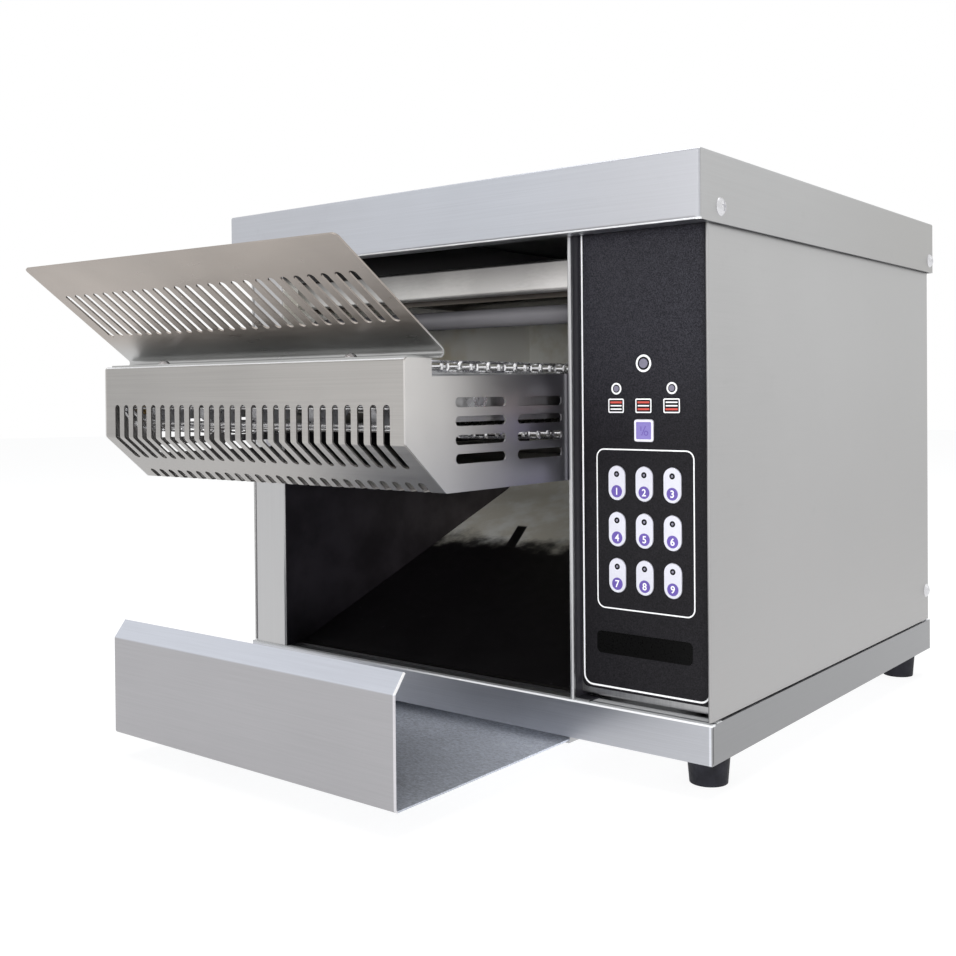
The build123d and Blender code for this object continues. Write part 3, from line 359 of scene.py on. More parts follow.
def chamber_steel(name, colour, back=None):
    """Walls of the chamber: clean satin steel at the front; inside, near-black low down and lighter
    towards the rear, heat-stained higher up, with painted shade darkening the roof.

    Past the place called back, along X, the sheet is painted near-black as shade.
    """
    n = Nodes(name)
    wander = n.noise(30, 4.0, 0.65)
    streaks = n.noise((1100, 1100, 10), 2.0)
    inside = n.past("Y", along(15.95), along(16.1))
    high = n.past("Z", 0.19, 0.21, smooth=True)
    roof = n.past("Z", 0.292, 0.300, smooth=True)
    blotches = n.spread(wander, 0.35, 0.7, smooth=True)
    # Near-black below the belt, lighter towards the rear.
    dark_lower_wall = n.mix(blotches, (0.010, 0.009, 0.011), (0.019, 0.017, 0.021))
    dark_lower_wall = n.multiply(n.past("Y", along(60), along(230)), dark_lower_wall, (1.9, 1.8, 1.6))
    heat = n.spread(n.noise(14, 3.0, 0.6, (1, 6, 3)), 0.45, 0.7, smooth=True)
    tinted = n.mix(heat, (0.92, 0.91, 0.86), (0.76, 0.69, 0.55))
    # Painted shade: near the roof the walls are darkened.
    inner_tone_and_roof_shade = n.mix(roof, n.mix(high, dark_lower_wall, tinted), (0.09, 0.088, 0.09))
    clean = n.mix(n.ranged(streaks), scaled(colour, 0.97), scaled(colour, 1.03))
    walls = n.mix(inside, clean, inner_tone_and_roof_shade)
    if back is not None:
        # Painted shade: past the place called back the sheet is near-black.
        corner_shade = n.math("MULTIPLY", n.past("X", back, back + 0.0002), inside)
        walls = n.mix(corner_shade, walls, (0.022, 0.021, 0.026))
    n.drive("Base Color", walls)
    n.drive("Roughness", n.ranged(streaks, 0.30, 0.42))
    n.drive("Metallic", n.spread(inside, 0.0, 1.0, 1.0, 0.05))
    n.set("Specular IOR Level", 0.25)
    n.bump(streaks, 0.06, 0.0002)
    return n.material


def bright_metal(name, colour, roughness=0.22, wear=0.05):
    """Drawn, turned or polished metal with slight wear."""
    n = Nodes(name)
    rub = n.noise(400, 3.0, 0.6)
    n.drive("Base Color", n.mix(n.ranged(rub), scaled(colour, 1 - 2 * wear), scaled(colour, 1 + wear)))
    n.drive("Roughness", n.ranged(rub, roughness - 0.05, roughness + 0.08))
    n.set("Metallic", 1.0)
    n.bump(rub, 0.08, 0.0001)
    return n.material


def plastic(
    name,
    colour,
    roughness=0.35,
    grain=900,
    depth=0.05,
    variation=0.06,
    coat=0.0,
    specular=0.5,
):
    """Moulded or printed plastic with a fine grain."""
    n = Nodes(name)
    fine = n.noise(grain, 2.0, 0.6)
    slow = n.noise(25, 2.0, 0.5, (2, 7, 4))
    shade = n.math("ADD", n.ranged(fine, -0.5, 0.5), n.ranged(slow, -0.5, 0.5))
    dark, light = scaled(colour, 1 - variation), scaled(colour, 1 + variation)
    n.drive("Base Color", n.mix(n.spread(shade, -1, 1), dark, light))
    n.drive("Roughness", n.ranged(fine, roughness - 0.05, roughness + 0.06))
    n.set("Specular IOR Level", specular)
    if coat:
        n.set("Coat Weight", coat)
        n.set("Coat Roughness", 0.12)
    n.bump(fine, depth, 0.0002)
    return n.material


def ink(name, colour, roughness, variation, specular=0.5):
    """A thin print with a very fine grain."""
    return plastic(name, colour, roughness, 1200, 0.03, variation, specular=specular)


def overlay_film(name):
    """Black polycarbonate film with a sparkling matt grain, darker at its foot."""
    n = Nodes(name)
    fine = n.noise(1700, 2.0, 0.8)
    slow = n.noise(18, 2.0, 0.5)
    grainy = n.mix(n.spread(fine, 0.38, 0.68), (0.005, 0.005, 0.008), (0.050, 0.049, 0.060))
    film = n.mix(n.ranged(slow, 0.0, 0.3), grainy, (0.020, 0.020, 0.025))
    film = n.multiply(n.past("Z", 0.26, 0.17, smooth=True), film, (0.42, 0.40, 0.38))
    n.drive("Base Color", film)
    n.drive("Roughness", n.ranged(fine, 0.40, 0.56))
    n.set("Specular IOR Level", 0.20)
    n.bump(fine, 0.25, 0.0003)
    return n.material


def rubber(name, colour):
    """Moulded rubber with a little dust."""
    n = Nodes(name)
    fine = n.noise(700, 3.0, 0.6)
    dust = n.noise(80, 3.0, 0.6, (5, 1, 3))
    n.drive("Base Color", n.mix(n.spread(dust, 0.4, 0.8), colour, scaled(colour, 2.4)))
    n.drive("Roughness", n.ranged(fine, 0.5, 0.7))
    n.set("Specular IOR Level", 0.2)
    n.bump(fine, 0.2, 0.0003)
    return n.material


def quartz_glass(name, colour):
    """Milky quartz tube."""
    n = Nodes(name)
    milk = n.noise(25, 2.0, 0.5)
    n.drive("Base Color", n.mix(n.ranged(milk), scaled(colour, 0.8), colour))
    n.drive("Roughness", n.ranged(milk, 0.34, 0.44))
    n.bump(milk, 0.04, 0.0003)
    return n.material


# Painted shade: the cover darker and warmer on its right skirt, and darker towards both ends and towards
# the rear.
COVER_PAINTED_SHADE = (
    ("X", COVER_SKIRT - CHANGE_WIDTH, COVER_SKIRT, (0.88, 0.87, 0.82)),  # right skirt
    ("X", 0.05, -0.19, (0.93, 0.92, 0.91)),  # to the left end
    ("X", 0.04, 0.18, (0.95, 0.93, 0.91)),  # to the right end
    ("Y", along(60), along(370), (0.90, 0.89, 0.87)),  # to the rear
)
# Painted highlight: a matt pale strip along the cover's front lip.
COVER_PAINTED_HIGHLIGHT = (
    (("Z", COVER_LIP + 0.0002, COVER_LIP), ("Y", along(1.2), along(1.0))),  # front lip
)
# Painted highlight on the base's right corner, and painted shade that darkens its right side.
BASE_PAINTED_LIGHT = (
    ("X", BASE_SIDE - CHANGE_WIDTH, BASE_SIDE, (1.5, 1.5, 1.5)),  # right corner
    ("X", BASE_RIM_SIDE - CHANGE_WIDTH, BASE_RIM_SIDE, (0.38, 0.375, 0.36)),  # right side
)
# Painted highlight: matt pale strips along the front's upper edge and on the rim's top below the
# overlay.
BASE_PAINTED_HIGHLIGHTS = (
    (  # upper edge of the front
        ("Z", BASE_TOP - 0.0012, BASE_TOP - 0.0010),
        ("Y", along(17.8), along(17.6)),
    ),
    (  # strip on the rim's top, below the overlay
        ("Z", BASE_TOP - 0.0002, BASE_TOP - 0.0001),
        ("X", 0.094, 0.095),
        ("Y", along(19.4), along(19.6)),
        ("Y", along(26.0), along(25.8)),
    ),
)
# Painted shade: the side panels darker towards the foot and towards the rear.
SIDE_PAINTED_SHADE = (
    ("Z", 0.27, 0.09, (0.90, 0.89, 0.89)),  # to the foot
    ("Y", along(120), along(369), (0.96, 0.96, 0.955)),  # to the rear
)
# Painted shade: the feed box's front darker towards the left.
FEED_PAINTED_SHADE = (("X", 0.06, -0.13, (0.86, 0.865, 0.87)),)  # to the left
# Painted highlight: a matt pale strip along the feed front's top edge.
FEED_PAINTED_HIGHLIGHT = (
    (("Z", FEED_LIP - 0.0002, FEED_LIP), ("Y", along(-121.5), along(-121.8))),  # front edge
)
# Painted shade: the feed box's sides darker towards the rear and towards the foot.
FEED_SIDE_PAINTED_SHADE = (
    ("Y", along(-62), along(-8), (0.62, 0.62, 0.67)),  # to the rear
    ("Z", 0.215, 0.16, (0.72, 0.73, 0.77)),  # to the foot
)
# Painted highlight: the flap lighter and less brown towards its fold.
FLAP_PAINTED_HIGHLIGHT = (("Z", 0.256, 0.240, (1.24, 1.39, 1.52)),)  # to the fold
# Painted shade: the upper front panel darker towards the roof under the cover, and towards the left.
TOP_PANEL_PAINTED_SHADE = (
    ("Z", 0.270, 0.300, (0.32, 0.315, 0.315)),  # to the roof
    ("X", 0.05, -0.03, (0.84, 0.84, 0.83)),  # to the left
)


looks = {
    "cover": brushed_steel(
        "cover_steel",
        (0.53, 0.55, 0.598),
        cloud=0.03,
        streak=0.035,
        painted_shading=COVER_PAINTED_SHADE,
        painted_highlights=COVER_PAINTED_HIGHLIGHT,
    ),
    "side": brushed_steel(
        "side_steel",
        (0.475, 0.475, 0.475),
        grain=(22, 22, 900),
        roughness=0.40,
        cloud=0.03,
        streak=0.03,
        painted_shading=SIDE_PAINTED_SHADE,
    ),
    "base": brushed_steel(
        "base_steel",
        (0.505, 0.515, 0.55),
        cloud=0.03,
        streak=0.05,
        painted_shading=BASE_PAINTED_LIGHT,
        painted_highlights=BASE_PAINTED_HIGHLIGHTS,
    ),
    "chamber": chamber_steel("chamber_steel", (0.485, 0.485, 0.49)),
    "divider": chamber_steel("divider_steel", (0.56, 0.565, 0.575), back=DIVIDER_RIGHT),
    "post": brushed_steel("inner_steel", (0.50, 0.50, 0.505), grain=(1500, 1500, 14)),
    "feed": brushed_steel(
        "feed_steel",
        (0.435, 0.42, 0.405),
        grain=(10, 10, 1400),
        cloud=0.05,
        streak=0.05,
        painted_shading=FEED_PAINTED_SHADE,
        painted_highlights=FEED_PAINTED_HIGHLIGHT,
    ),
    "feed_side": brushed_steel(
        "feed_side_steel",
        (0.66, 0.645, 0.63),
        grain=(1200, 12, 12),
        roughness=0.32,
        cloud=0.12,
        streak=0.05,
        painted_shading=FEED_SIDE_PAINTED_SHADE,
    ),
    "flap": brushed_steel(
        "flap_steel",
        (0.370, 0.332, 0.302),
        grain=(40, 300, 300),
        roughness=0.32,
        cloud=0.13,
        streak=0.03,
        painted_shading=FLAP_PAINTED_HIGHLIGHT,
    ),
    "tray": tray_steel("tray_steel", (0.405, 0.40, 0.415), (0.45, 0.475, 0.53)),
    "slide": slide_steel("slide_steel", (0.92, 0.92, 0.88)),
    "top_panel": brushed_steel(
        "top_panel_steel",
        (0.88, 0.87, 0.86),
        grain=(160, 160, 600),
        roughness=0.38,
        cloud=0.32,
        streak=0.05,
        painted_shading=TOP_PANEL_PAINTED_SHADE,
    ),
    "reflector": brushed_steel(
        "reflector_steel",
        (0.60, 0.58, 0.55),
        grain=(1200, 14, 14),
        roughness=0.28,
        cloud=0.15,
        streak=0.05,
    ),
    "dark_reflector": brushed_steel(
        "heated_reflector_steel",
        (0.11, 0.10, 0.09),
        grain=(14, 1200, 14),
        roughness=0.36,
        cloud=0.15,
        streak=0.05,
    ),
    "belt": bright_metal("belt_wire_steel", (0.86, 0.86, 0.87), 0.24),
    "machined": bright_metal("machined_steel", (0.50, 0.50, 0.52), 0.30),
    "screw": bright_metal("screw_steel", (0.68, 0.68, 0.70), 0.24),
    "bronze": bright_metal("bush_bronze", (0.50, 0.34, 0.14), 0.32),
    "quartz": quartz_glass("milky_quartz", (0.15, 0.147, 0.158)),
    "ceramic": plastic("white_ceramic", (0.78, 0.76, 0.72), 0.6, grain=500, depth=0.1),
    "rubber": rubber("foot_rubber", (0.010, 0.010, 0.013)),
    "overlay": overlay_film("overlay_film"),
    "key": plastic("key_white", (0.66, 0.66, 0.73)),
    "mode_key": plastic("mode_key_black", (0.008, 0.007, 0.009), 0.45, specular=0.15),
    "power_key": plastic("power_key_white", (0.80, 0.79, 0.85)),
    "lamp": plastic(
        "lamp_lens",
        (0.20, 0.19, 0.25),
        roughness=0.15,
        grain=600,
        depth=0.02,
        variation=0.1,
        coat=0.6,
    ),
    "board": plastic("circuit_board", (0.03, 0.16, 0.06), 0.4, grain=500),
    "motor": plastic("motor_paint", (0.10, 0.105, 0.115), 0.42, grain=400, depth=0.08),
    "terminal": plastic("terminal_white", (0.75, 0.75, 0.70), 0.45),
    "gland": plastic("gland_black", (0.025, 0.025, 0.025), 0.5),
    "white_print": ink("white_print", (0.92, 0.92, 0.93), 0.45, 0.03),
    "purple_print": ink("purple_print", (0.13, 0.085, 0.36), 0.45, 0.12),
    "pale_purple": ink("pale_purple_print", (0.24, 0.20, 0.50), 0.40, 0.10),
    "red_print": ink("red_print", (0.58, 0.09, 0.07), 0.45, 0.08),
    "black_print": ink("black_print", (0.003, 0.003, 0.003), 0.30, 0.05, specular=0.08),
}

LOOK_NODES = {
    "base": ["base_pan"],
    "side": ["left_side_panel", "right_side_panel", "rear_panel"],
    "cover": ["top_cover"],
    "chamber": ["left_inner_panel"],
    "divider": ["divider_wall"],
    "feed": ["feed_front_cover", "conveyor_pan"],
    "feed_side": ["feed_side_left", "feed_side_right"],
    "flap": ["bread_flap"],
    "tray": ["toast_tray"],
    "slide": ["toast_slide"],
    "top_panel": ["upper_front_panel"],
    "post": [
        "control_plate",
        "tray_runner_left",
        "tray_runner_right",
        "conveyor_rail_left",
        "conveyor_rail_right",
    ],
    "reflector": ["lower_reflector"],
    "dark_reflector": ["upper_reflector"],
    "belt": ["wire_belt"],
    "machined": [
        "front_roller",
        "drive_shaft",
        "tie_rods",
        "rail_spacers",
        "belt_support_bars",
    ],
    "screw": [
        "tie_nuts",
        "cover_screws",
        "rear_panel_screws",
        "flap_screws",
        "foot_screws",
        "foot_nuts",
    ],
    "bronze": ["roller_bushes"],
    "quartz": ["upper_heaters", "lower_heaters"],
    "ceramic": ["heater_caps"],
    "rubber": ["rubber_feet"],
    "overlay": ["control_overlay"],
    "key": [f"key_{number}" for number in range(1, 10)],
    "mode_key": [f"key_mode_{mode}" for mode in MODES],
    "power_key": ["key_power"],
    "lamp": ["lamp_lenses"],
    "board": ["keypad_board", "power_board"],
    "motor": ["gear_motor"],
    "terminal": ["terminal_block"],
    "gland": ["cord_gland"],
}
NODE_LOOKS = {node: look for look, nodes in LOOK_NODES.items() for node in nodes}

for node_name, node in frame["nodes"].items():
    node.data.materials.clear()
    node.data.materials.append(looks[NODE_LOOKS[node_name]])


# ------------------------------------------------------------------ mesh helpers
def piece(name, mesh, look, body, smooth=False):
    """Makes an object of a bmesh, gives it its look and lets it ride on a body."""
    data = bpy.data.meshes.new(name)
    mesh.to_mesh(data)
    mesh.free()
    if smooth:
        data.shade_smooth()
        data.set_sharp_from_angle(angle=math.radians(40))
    made = bpy.data.objects.new(name, data)
    bpy.context.scene.collection.objects.link(made)
    data.materials.append(looks[look])
    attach(made, body)
    return made


def tube(mesh, points, radius, sides=8, closed=False):
    """Sweeps a round wire along points, keeping its rings upright to the path."""
    count = len(points)
    rings = []
    for i, point in enumerate(points):
        before = points[i - 1] if (i > 0 or closed) else point
        after = points[(i + 1) % count] if (i < count - 1 or closed) else point
        heading = (after - before).normalized()
        side = heading.cross(Vector((0, 0, 1)))
        if side.length < 0.1:
            side = heading.cross(Vector((0, 1, 0)))
        side.normalize()
        up = side.cross(heading)
        ring = []
        for k in range(sides):
            angle = 2 * math.pi * k / sides
            ring.append(mesh.verts.new(point + radius * (math.cos(angle) * side + math.sin(angle) * up)))
        rings.append(ring)
    for i in range(count if closed else count - 1):
        a, b = rings[i], rings[(i + 1) % count]
        for k in range(sides):
            mesh.faces.new((a[k], a[(k + 1) % sides], b[(k + 1) % sides], b[k]))
    if not closed:
        mesh.faces.new(list(reversed(rings[0])))
        mesh.faces.new(rings[-1])


def circle(radius, steps=24):
    angles = [2 * math.pi * k / steps for k in range(steps)]
    return [(radius * math.cos(angle), radius * math.sin(angle)) for angle in angles]


def round_outline(width, height, radius, steps=6):
    """Corners of a rounded rectangle round (0, 0), anticlockwise."""
    points = []
    corners = ((1, 1, 0), (-1, 1, 90), (-1, -1, 180), (1, -1, 270))
    for sign_x, sign_z, start in corners:
        for k in range(steps + 1):
            angle = math.radians(start + 90 * k / steps)
            x = sign_x * (width / 2 - radius) + radius * math.cos(angle)
            z = sign_z * (height / 2 - radius) + radius * math.sin(angle)
            points.append((x, z))
    return points


def printed_shape(mesh, outline, x, z, face_y, thickness=PRINT_HEIGHT):
    """A filled flat print on an upright face, standing a hair proud of it."""
    front = [mesh.verts.new(spot(x + px, face_y - thickness, z + pz)) for px, pz in outline]
    back = [mesh.verts.new(spot(x + px, face_y + PRINT_SINK, z + pz)) for px, pz in outline]
    mesh.faces.new(front)
    mesh.faces.new(list(reversed(back)))
    for k in range(len(front)):
        after = (k + 1) % len(front)
        mesh.faces.new((front[after], front[k], back[k], back[after]))


def printed_line(mesh, outline, inner, x, z, face_y, thickness=PRINT_HEIGHT):
    """A closed printed line between two outlines with the same number of points."""
    sunk, proud = face_y + PRINT_SINK, face_y - thickness
    rows = []
    for ring, y in ((outline, sunk), (outline, proud), (inner, proud)):
        rows.append([mesh.verts.new(spot(x + px, y, z + pz)) for px, pz in ring])
    for low, high in zip(rows, rows[1:]):
        for k in range(len(low)):
            after = (k + 1) % len(low)
            mesh.faces.new((low[k], low[after], high[after], high[k]))


# ------------------------------------------------------------------ wire belt
def belt_stations():
    """Centres of the belt's rods round the whole loop, as y and z."""
    top = REAR_AXLE_Y - FRONT_AXLE_Y
    bottom = top + 8 * BELT_SAG**2 / (3 * top)
    turn = math.pi * BELT_TURN_RADIUS
    total = top + bottom + 2 * turn
    count = round(total / BELT_PITCH)

    def round_shaft(axle_y, angle):
        across, up = math.cos(angle), math.sin(angle)
        return axle_y + BELT_TURN_RADIUS * across, AXLE_Z + BELT_TURN_RADIUS * up

    stations = []
    for i in range(count):
        way = (i + 0.5) * total / count
        if way < top:
            stations.append((FRONT_AXLE_Y + way, AXLE_Z + BELT_TURN_RADIUS))
        elif way < top + turn:
            angle = math.pi / 2 - (way - top) / BELT_TURN_RADIUS
            stations.append(round_shaft(REAR_AXLE_Y, angle))
        elif way < top + turn + bottom:
            share = (way - top - turn) / bottom
            droop = 4 * BELT_SAG * share * (1 - share)
            stations.append((REAR_AXLE_Y - top * share, AXLE_Z - BELT_TURN_RADIUS - droop))
        else:
            angle = -math.pi / 2 - (way - top - turn - bottom) / BELT_TURN_RADIUS
            stations.append(round_shaft(FRONT_AXLE_Y, angle))
    return stations


def belt_loop(mesh, x, here, ahead):
    """A bent wire link in the plane x = constant that reaches round two rods."""
    centre = ((here[0] + ahead[0]) / 2, (here[1] + ahead[1]) / 2)
    dy, dz = ahead[0] - here[0], ahead[1] - here[1]
    pitch = math.hypot(dy, dz)
    heading = (dy / pitch, dz / pitch)
    height = LINK_HEIGHT - 2 * LINK_WIRE
    # The bends are a hair smaller than half the height, so that no two points coincide.
    bend = height / 2 - 0.05
    points = []
    for u, v in round_outline(pitch + LINK_OVERHANG, height, bend, 4):
        y = centre[0] + u * heading[0] - v * heading[1]
        z = centre[1] + u * heading[1] + v * heading[0]
        points.append(spot(x, y, z))
    tube(mesh, points, LINK_WIRE * MM, 6, closed=True)


def wire_belt():
    """Rods across the belt, each joined to the next by a wire loop at both ends."""
    mesh = bmesh.new()
    stations = belt_stations()
    half = BELT_WIDTH / 2
    left = BELT_CENTRE - half + ROD_END_INSET
    right = BELT_CENTRE + half - ROD_END_INSET
    for i, here in enumerate(stations):
        ahead = stations[(i + 1) % len(stations)]
        inset = LINK_INSET if i % 2 == 0 else LINK_INSET + LINK_THICKNESS + LINK_GAP
        tube(mesh, [spot(left, *here), spot(right, *here)], ROD_RADIUS * MM, 8)
        for side in (-1, 1):
            belt_loop(mesh, BELT_CENTRE + side * (half - inset), here, ahead)
    made = piece("belt_wires", mesh, "belt", "housing", smooth=True)
    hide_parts("wire_belt")


# ------------------------------------------------------------------ flap
def twisted_flap():
    """The flap with the slight twist of a sheet in use: left end up, right end down."""
    low, high = span("bread_flap")
    half = (high.x - low.x) / 2
    centre = (high.x + low.x) / 2
    fold = spot(centre, FLAP_FOLD_Y, low.z)
    rise = Vector((0, -math.cos(FLAP_ANGLE), math.sin(FLAP_ANGLE)))
    # What lies nearer to the fold than this, in metres, stays as it is.
    flat_reach, flat_height = 0.004, 0.002
    mesh = bmesh.new()
    mesh.from_mesh(frame["nodes"]["bread_flap"].data)
    for vert in mesh.verts:
        reach = (vert.co - fold).dot(rise)
        if reach > flat_reach and vert.co.z > fold.z + flat_height:
            share = (vert.co.x / MM - centre) / half
            turn = Matrix.Rotation(FLAP_TWIST * share, 3, "X")
            bent = turn @ Vector((0, vert.co.y - fold.y, vert.co.z - fold.z))
            vert.co.y = fold.y + bent.y
            vert.co.z = fold.z + bent.z
    made = piece("flap_sheet", mesh, "flap", "housing")
    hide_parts("bread_flap")


# ------------------------------------------------------------------ control panel
def digit_points(number):
    """Corners and faces of one digit round (0, 0), made from the built-in font."""
    curve = bpy.data.curves.new("digit", "FONT")
    curve.body = str(number)
    curve.size = DIGIT_SIZE
    curve.align_x = "CENTER"
    curve.align_y = "CENTER"
    curve.offset = DIGIT_BOLDNESS
    holder = bpy.data.objects.new("digit", curve)
    bpy.context.scene.collection.objects.link(holder)
    bpy.context.view_layer.update()
    seen = holder.evaluated_get(bpy.context.evaluated_depsgraph_get())
    flat = bpy.data.meshes.new_from_object(seen)
    corners = [(v.co.x, v.co.y) for v in flat.vertices]
    faces = [tuple(p.vertices) for p in flat.polygons]
    bpy.data.objects.remove(holder)
    bpy.data.curves.remove(curve)
    bpy.data.meshes.remove(flat)
    middle_x = (max(c[0] for c in corners) + min(c[0] for c in corners)) / 2
    middle_z = (max(c[1] for c in corners) + min(c[1] for c in corners)) / 2
    return [(cx - middle_x, cz - middle_z) for cx, cz in corners], faces


def key_prints():
    """On each speed key: a dark lamp window above a violet disc with its digit."""
    disc_drop, window_rise = 4.7, 5.0
    disc_outline, window_outline, lamp_outline = circle(3.5), circle(1.7), circle(0.75, 12)
    for number in range(1, 10):
        row, column = divmod(number - 1, 3)
        x = KEY_X + (column - 1) * KEY_PITCH_X
        z = KEY_MIDDLE_Z + (1 - row) * KEY_PITCH_Z
        body = f"key_{number}_button"
        disc = bmesh.new()
        printed_shape(disc, disc_outline, x, z - disc_drop, KEY_FACE_Y)
        piece(f"key_{number}_disc", disc, "purple_print", body)
        window = bmesh.new()
        printed_shape(window, window_outline, x, z + window_rise, KEY_FACE_Y)
        piece(f"key_{number}_window", window, "black_print", body)
        lamp = bmesh.new()
        printed_shape(lamp, lamp_outline, x, z + window_rise, KEY_FACE_Y, OVERPRINT_HEIGHT)
        piece(f"key_{number}_lamp", lamp, "lamp", body)
        corners, faces = digit_points(number)
        digit = bmesh.new()
        face_y = KEY_FACE_Y - OVERPRINT_HEIGHT
        verts = [digit.verts.new(spot(x + cx, face_y, z - disc_drop + cz)) for cx, cz in corners]
        for face in faces:
            digit.faces.new([verts[k] for k in face])
        piece(f"key_{number}_digit", digit, "white_print", body)


def mode_prints():
    """Three toast symbols in white frames, with the heated side in red."""
    heated_sides = {"top": (1,), "both": (1, -1), "bottom": (-1,)}
    frame_outer = round_outline(10.2, 8.0, 0.8, 3)
    frame_inner = round_outline(8.8, 6.6, 0.3, 3)
    white_line = round_outline(7.4, 0.75, 0.3, 2)
    red_line = round_outline(7.6, 1.1, 0.3, 2)
    line_gap = 1.9
    z = MODE_Z
    for i, name in enumerate(MODES):
        x = KEY_X + (i - 1) * KEY_PITCH_X
        body = f"key_mode_{name}_button"
        white = bmesh.new()
        printed_line(white, frame_outer, frame_inner, x, z, KEY_FACE_Y)
        red = bmesh.new()
        for side in (1, -1):
            if side in heated_sides[name]:
                printed_shape(red, red_line, x, z + line_gap * side, KEY_FACE_Y)
            else:
                printed_shape(white, white_line, x, z + line_gap * side, KEY_FACE_Y)
        printed_shape(white, white_line, x, z, KEY_FACE_Y)
        piece(f"mode_{name}_frame", white, "white_print", body)
        piece(f"mode_{name}_heat", red, "red_print", body)


def power_prints():
    """Violet field with a line and ring for on and off."""
    x, z = KEY_X, POWER_Z
    body, slot = "key_power_button", "power_key_white"
    field = bmesh.new()
    printed_shape(field, round_outline(9.6, 9.6, 0.6, 3), x, z, KEY_FACE_Y)
    piece("power_field", field, "pale_purple", body)
    sign = bmesh.new()
    stroke = [(-1.9, -0.2), (-1.4, -0.2), (-1.4, 2.4), (-1.9, 2.2)]
    slash = [(-1.5, -2.6), (-1.0, -2.6), (1.6, 2.6), (1.1, 2.6)]
    for outline in (stroke, slash):
        printed_shape(sign, outline, x, z, KEY_FACE_Y, OVERPRINT_HEIGHT)
    ring_outer, ring_inner = circle(1.4, 16), circle(0.9, 16)
    ring_x, ring_z = x + 1.6, z - 1.4
    printed_line(sign, ring_outer, ring_inner, ring_x, ring_z, KEY_FACE_Y, OVERPRINT_HEIGHT)
    piece("power_sign", sign, "purple_print", body)


def panel_prints():
    """White frame lines of the overlay and the bare plate under the keys."""
    # The frame line lies this far inside the film's edges.
    left, right = OVERLAY_LOW.x + 0.9, OVERLAY_HIGH.x - 1.9
    bottom, top = OVERLAY_LOW.z + 1.4, OVERLAY_HIGH.z - 3.0
    width, height = right - left, top - bottom
    centre_x, centre_z = (left + right) / 2, (top + bottom) / 2
    line_width = 1.0
    lines = bmesh.new()
    outer = round_outline(width, height, 6.0)
    inner = round_outline(width - 2 * line_width, height - 2 * line_width, 5.0)
    printed_line(lines, outer, inner, centre_x, centre_z, CONTROL_Y)
    pad_x, pad_z = 137.05, 140.4
    pad_outer = round_outline(62.5, 90.8, 5.0)
    pad_inner = round_outline(61.0, 89.3, 4.3)
    printed_line(lines, pad_outer, pad_inner, pad_x, pad_z, CONTROL_Y)
    piece("overlay_lines", lines, "white_print", "housing")
    plate_x, plate_z = 136.0, 75.6
    plate = bmesh.new()
    printed_shape(plate, round_outline(61.1, 12.6, 3.0), plate_x, plate_z, CONTROL_Y, PLATE_HEIGHT)
    piece("blank_plate", plate, "black_print", "housing")


def lamp_rings():
    """Pale rings round the three lamps, with a black gap inside each."""
    aside, large_z, small_z = 17.7, 233.5, 219.6
    # The radii of the lens and of the ring's inner and outer edge.
    large, small = (3.1, 3.7, 4.9), (1.4, 2.3, 3.3)
    places = (
        (KEY_X, large_z, *large),
        (KEY_X - aside, small_z, *small),
        (KEY_X + aside, small_z, *small),
    )
    rings = bmesh.new()
    gaps = bmesh.new()
    for x, z, lens, inner, outer in places:
        printed_line(rings, circle(outer), circle(inner), x, z, CONTROL_Y)
        printed_line(gaps, circle(inner), circle(lens), x, z, CONTROL_Y, OVERPRINT_HEIGHT)
    piece("lamp_rings", rings, "white_print", "housing")
    piece("lamp_gaps", gaps, "black_print", "housing")


# ------------------------------------------------------------------ screws
def cross_screws():
    """Low domed heads with a cross recess, two in each of the cover's side skirts."""
    skirt_x, front_y, rear_y, z = 185.0, 22.8, 365.0, 315.0
    head_radius, head_height = 5.0, 2.4
    arm_length, arm_half_width, depth = 2.3, 0.55, 1.0
    dome = (head_radius**2 + head_height**2) / (2 * head_height)
    cells = 40
    step = 2 * head_radius / cells

    def height(px, pz):
        lift = head_height - dome + math.sqrt(max(dome**2 - px**2 - pz**2, 0.0))
        long, short = max(abs(px), abs(pz)), min(abs(px), abs(pz))
        sunk = short < arm_half_width and long < arm_length
        return max(lift, 0.0) - (depth if sunk else 0.0)

    mesh = bmesh.new()
    for y in (front_y, rear_y):
        for side in (1, -1):
            facing = Matrix.Rotation(math.radians(90 * side), 4, "Y")
            move = Matrix.Translation(spot(side * skirt_x, y, z)) @ facing
            grid = {}
            for i in range(cells + 1):
                for k in range(cells + 1):
                    px, pz = -head_radius + i * step, -head_radius + k * step
                    reach = math.hypot(px, pz)
                    if reach > head_radius:
                        px, pz = px * head_radius / reach, pz * head_radius / reach
                    point = Vector((px, pz, height(px, pz))) * MM
                    grid[i, k] = mesh.verts.new(move @ point)
            for i in range(cells):
                for k in range(cells):
                    corners = [grid[i, k], grid[i + 1, k], grid[i + 1, k + 1], grid[i, k + 1]]
                    mesh.faces.new(corners)
    bmesh.ops.remove_doubles(mesh, verts=mesh.verts, dist=0.00001)
    made = piece("cover_screw_heads", mesh, "screw", "housing")
    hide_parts("cover_screws")


wire_belt()
twisted_flap()
key_prints()
mode_prints()
power_prints()
panel_prints()
lamp_rings()
cross_screws()


# ------------------------------------------------------------------ floor, light, camera
FLOOR_RADIUS = 6
FLOOR_DROP = 0.0002
FLOOR_WHITE = (0.94, 0.94, 0.94, 1)
FLOOR_GLOW = 1.16
FLOOR_GLOW_SHARE = 0.75
SKY_SEEN = (1, 1, 1, 1)
SKY_LIGHT = (0.95, 0.97, 1, 1)
SKY_LIGHT_STRENGTH = 0.45

